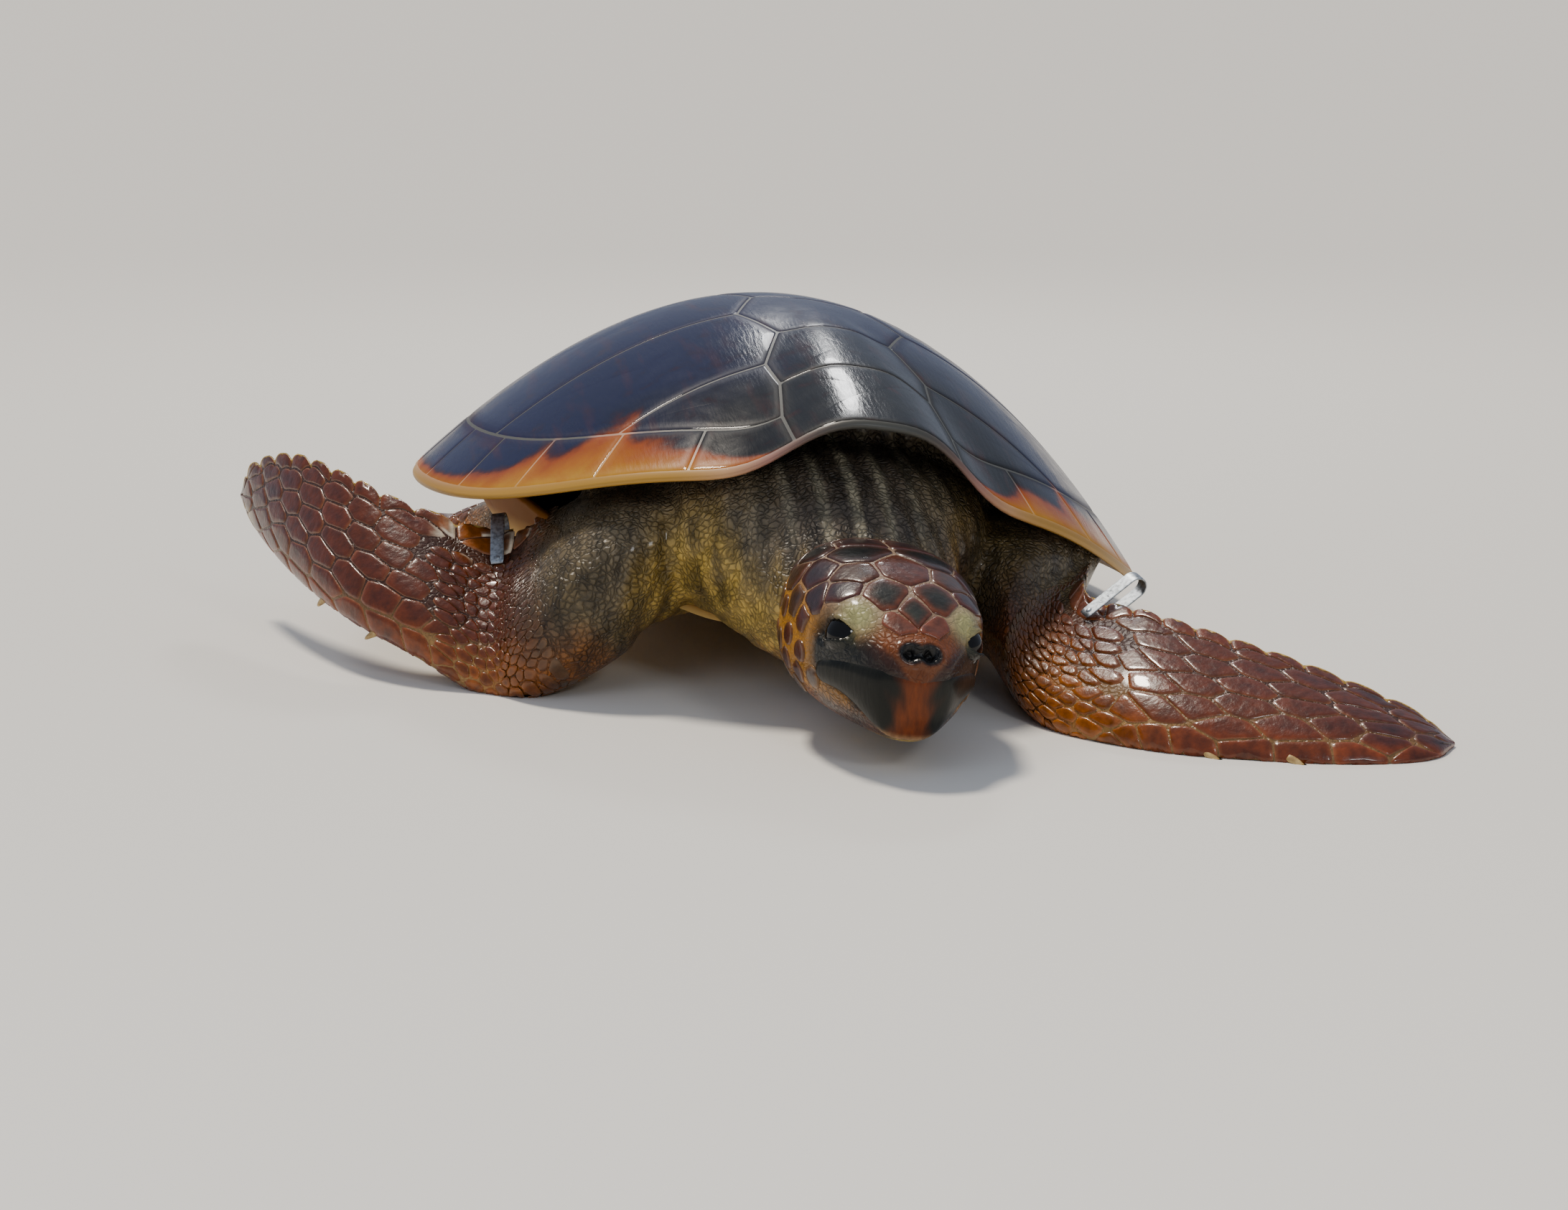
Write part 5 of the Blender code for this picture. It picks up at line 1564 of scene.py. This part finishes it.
def flipper_tag(limb, label, station, reach, inner, skew, digits):
    """A tag at a station: its bend stands out past the trailing edge, and its legs run inwards.

    The strip's rings follow a leg, half a circle of the inner radius and the other leg, each ring an
    oval near a rectangle. Reach is from the edge in, and skew turns the legs along the limb.
    """
    lead, trail, beyond = edge_frame(limb, station)
    inward = unit(lead - trail)
    normal = unit(np.cross(beyond, inward))
    inward = inward * math.cos(skew) + np.cross(inward, normal) * math.sin(skew)
    width = np.cross(inward, normal)
    bend = trail - inward * (reach - inner) + SHIFT
    radius = inner + TAG_SHEET / 2
    turn = np.linspace(math.pi / 2, 3 * math.pi / 2, 24)
    leg = np.linspace(TAG_LEG, 0, 12)[:-1]
    forth = np.concatenate([leg, radius * np.cos(turn), leg[::-1]])
    square = np.concatenate([0 * leg + turn[0], turn, 0 * leg + turn[-1]])
    out = radius * np.sin(square)
    ring = round_turn(24)
    size = np.ones(len(forth))
    size[[0, -1]] = 0.86  # both ends are rounded off
    wide = np.sign(np.cos(ring)) * np.abs(np.cos(ring)) ** 0.25 * TAG_WIDTH / 2 * size[:, None]
    thick = np.sign(np.sin(ring)) * np.abs(np.sin(ring)) ** 0.35 * TAG_SHEET / 2 * size[:, None]
    along = forth[:, None] + thick * np.cos(square)[:, None]
    away = out[:, None] + thick * np.sin(square)[:, None]
    rings = bend + along[..., None] * inward + away[..., None] * normal + wide[..., None] * width
    face = np.sign(normal[2])
    top = bend + normal * face * (radius + TAG_SHEET / 2)
    points, faces = stamped(digits, FIGURE_SIZE, FIGURE_RELIEF)
    points = points[:, :1] * inward + points[:, 1:2] * width * face + points[:, 2:] * normal * face
    points = points + top + inward * FIGURE_PLACE * TAG_LEG
    figures = (points, facing_out(points - points.mean(axis=0), faces))
    dome = np.linspace(0, math.pi / 2, 6)[:, None]
    rivet = top + inward * RIVET_PLACE * TAG_LEG
    rivet = rivet + (RIVET_RADIUS * np.cos(dome) * np.cos(ring))[..., None] * inward
    rivet = rivet + (RIVET_RADIUS * np.cos(dome) * np.sin(ring))[..., None] * width
    rivet = rivet + (RIVET_RISE * np.sin(dome) - RIVET_SUNK)[..., None] * normal * face
    points, faces = joined([closed_loft(rings), figures, closed_loft(rivet)])
    tag = make_piece(f"tag_{label}", points, faces, tag_finish)
    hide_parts(f"flipper_tag_{label}")


flipper_tag(fore_right, "right", 3.0, 0.010, 0.0088, 0.0, "0417")
flipper_tag(fore_left, "left", 3.5, 0.024, 0.0065, -1.0, "0418")


# The claws: two on each limb's leading edge, short curved cones of pale horn, scratched and worn.

CLAW_LENGTH = 0.015
CLAW_RADIUS = 0.0034
CLAW_SHOWN = 0.90  # the cone's own share of that length
CLAW_DROOP = 0.002
CLAW_FLATNESS = 0.85  # height over breadth

# Worn claw keratin: pale brown horn, clouded and hardly shining.
claw_finish, tree, shader = new_finish("worn_claw_keratin", 0.45, coat=0.2, coat_rough=0.2)
place = add(tree, "TexCoord", out="Object")
cloud = add(tree, "TexNoise", {"Vector": place, "Scale": 300.0, "Detail": 3.0})  # 3 mm clouds
claw_stops = [(0.3, "#8a6a3c"), (0.7, "#c2a468")]
claw_tone = add(tree, "ValToRGB", {"Fac": cloud}, claw_stops)
tree.links.new(claw_tone, shader.inputs["Base Color"])

for name, limb, stations in (
    ("fore_right", fore_right, (4.5, 5.375)), ("fore_left", fore_left, (4.5, 5.375)),
    ("hind_right", hind_right, (2.5, 3.25)), ("hind_left", hind_left, (2.5, 3.25)),
):
    for number, station in enumerate(stations, 1):
        lead, trail, beyond = edge_frame(limb, station)
        outward = unit(lead - trail)
        heading = unit(0.55 * outward + 0.83 * unit(beyond))
        share = np.linspace(0, 1, 16)[:, None]
        centre = lead - outward * CLAW_RADIUS + heading * CLAW_LENGTH * CLAW_SHOWN * share + SHIFT
        centre[:, 2] += CLAW_RADIUS - CLAW_DROOP * share[:, 0] ** 2
        side = unit(np.cross(heading, (0, 0, 1.0)))
        rise = np.cross(side, heading)
        ring = round_turn(24)
        radius = CLAW_RADIUS * np.sqrt(np.maximum(1 - share**1.7, 0.002))
        oval = (radius * np.cos(ring))[..., None] * side
        oval = oval + (CLAW_FLATNESS * radius * np.sin(ring))[..., None] * rise
        points, faces = closed_loft(above(centre[:, None] + oval))
        claw = make_piece(f"horn_claw_{name}_{number}", points, faces, claw_finish)
        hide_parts(f"claw_{name}_{number}")


# The studio: a plain pale floor under a pale sky. A soft high sun stands behind the turtle, a dim
# lamp fills its right side, one in front lights the eyes and one behind gives the shell its gleam.
# The camera looks at the turtle's face from a little above.

FLOOR_RADIUS = 40

# Pale matte floor: flat paint with hardly a gleam, so the turtle's soft shadow shows plainly on it.
floor_finish, tree, shader = new_finish("pale_matte_floor", 0.75)
shader.inputs["Base Color"].default_value = (*colour("#d9d6cf"), 1)
edge = round_turn(96)
floor_ring = np.stack([np.cos(edge), np.sin(edge), 0 * edge], axis=-1) * FLOOR_RADIUS
floor_points, floor_faces = closed_loft(floor_ring[None])
floor_mesh = make_mesh("floor", floor_points[:-1], floor_faces[1:2])
floor_mesh.flip_normals()
floor_mesh.materials.append(floor_finish)
floor = bpy.data.objects.new("floor", floor_mesh)
bpy.context.scene.collection.objects.link(floor)
world = bpy.data.worlds.new("studio")
bpy.context.scene.world = world
world.use_nodes = True
sky = world.node_tree.nodes["Background"].inputs
sky["Color"].default_value = (*colour("#d0dcf2"), 1)
sky["Strength"].default_value = 0.5


def soft_light(name, where, aim, size, power, tone):
    """A round lamp at a place, turned towards its aim."""
    lamp = bpy.data.lights.new(name, "AREA")
    lamp.shape = "DISK"
    lamp.size = size
    lamp.energy = power
    lamp.color = colour(tone)
    made = bpy.data.objects.new(name, lamp)
    made.location = where
    way = np.array(aim) - np.array(where)
    flat = math.hypot(way[0], way[1])
    made.rotation_euler = (math.pi / 2 - math.atan2(-way[2], flat), 0, math.atan2(-way[0], way[1]))
    bpy.context.scene.collection.objects.link(made)
    return made


key = bpy.data.lights.new("key_light", "SUN")
key.energy = 3.6
key.angle = math.radians(9)
key.color = colour("#fff4e4")
key_light = bpy.data.objects.new("key_light", key)
key_light.rotation_euler = (math.radians(-24), math.radians(-13), 0)
bpy.context.scene.collection.objects.link(key_light)
fill_light = soft_light("fill_light", (-1.4, -1.6, 1.3), (0, -0.1, 0.1), 1.6, 8, "#e8f0ff")
soft_light("front_light", (0.5, -2.2, 1.2), (0, -0.2, 0.1), 0.4, 8, "#ffffff")
fill_light.visible_glossy = False
soft_light("back_light", (0.39, 1.63, 1.35), (0.0, -0.2, 0.2), 0.32, 8, "#ffffff")

VIEW_DOWN = math.radians(12)
VIEW_AROUND = math.radians(-10)
VIEW_DISTANCE = 2.6
back = np.array([
    math.sin(VIEW_AROUND) * math.cos(VIEW_DOWN),
    -math.cos(VIEW_AROUND) * math.cos(VIEW_DOWN),
    math.sin(VIEW_DOWN),
])
camera_data = bpy.data.cameras.new("camera")
camera_data.sensor_width = 36
camera_data.lens = 80.9
camera_data.shift_x = 0.0192
camera_data.shift_y = 0.0032
camera = bpy.data.objects.new("camera", camera_data)
camera.location = back * VIEW_DISTANCE + SHIFT
camera.rotation_euler = (math.pi / 2 - VIEW_DOWN, 0, VIEW_AROUND)
bpy.context.scene.collection.objects.link(camera)
bpy.context.scene.camera = camera
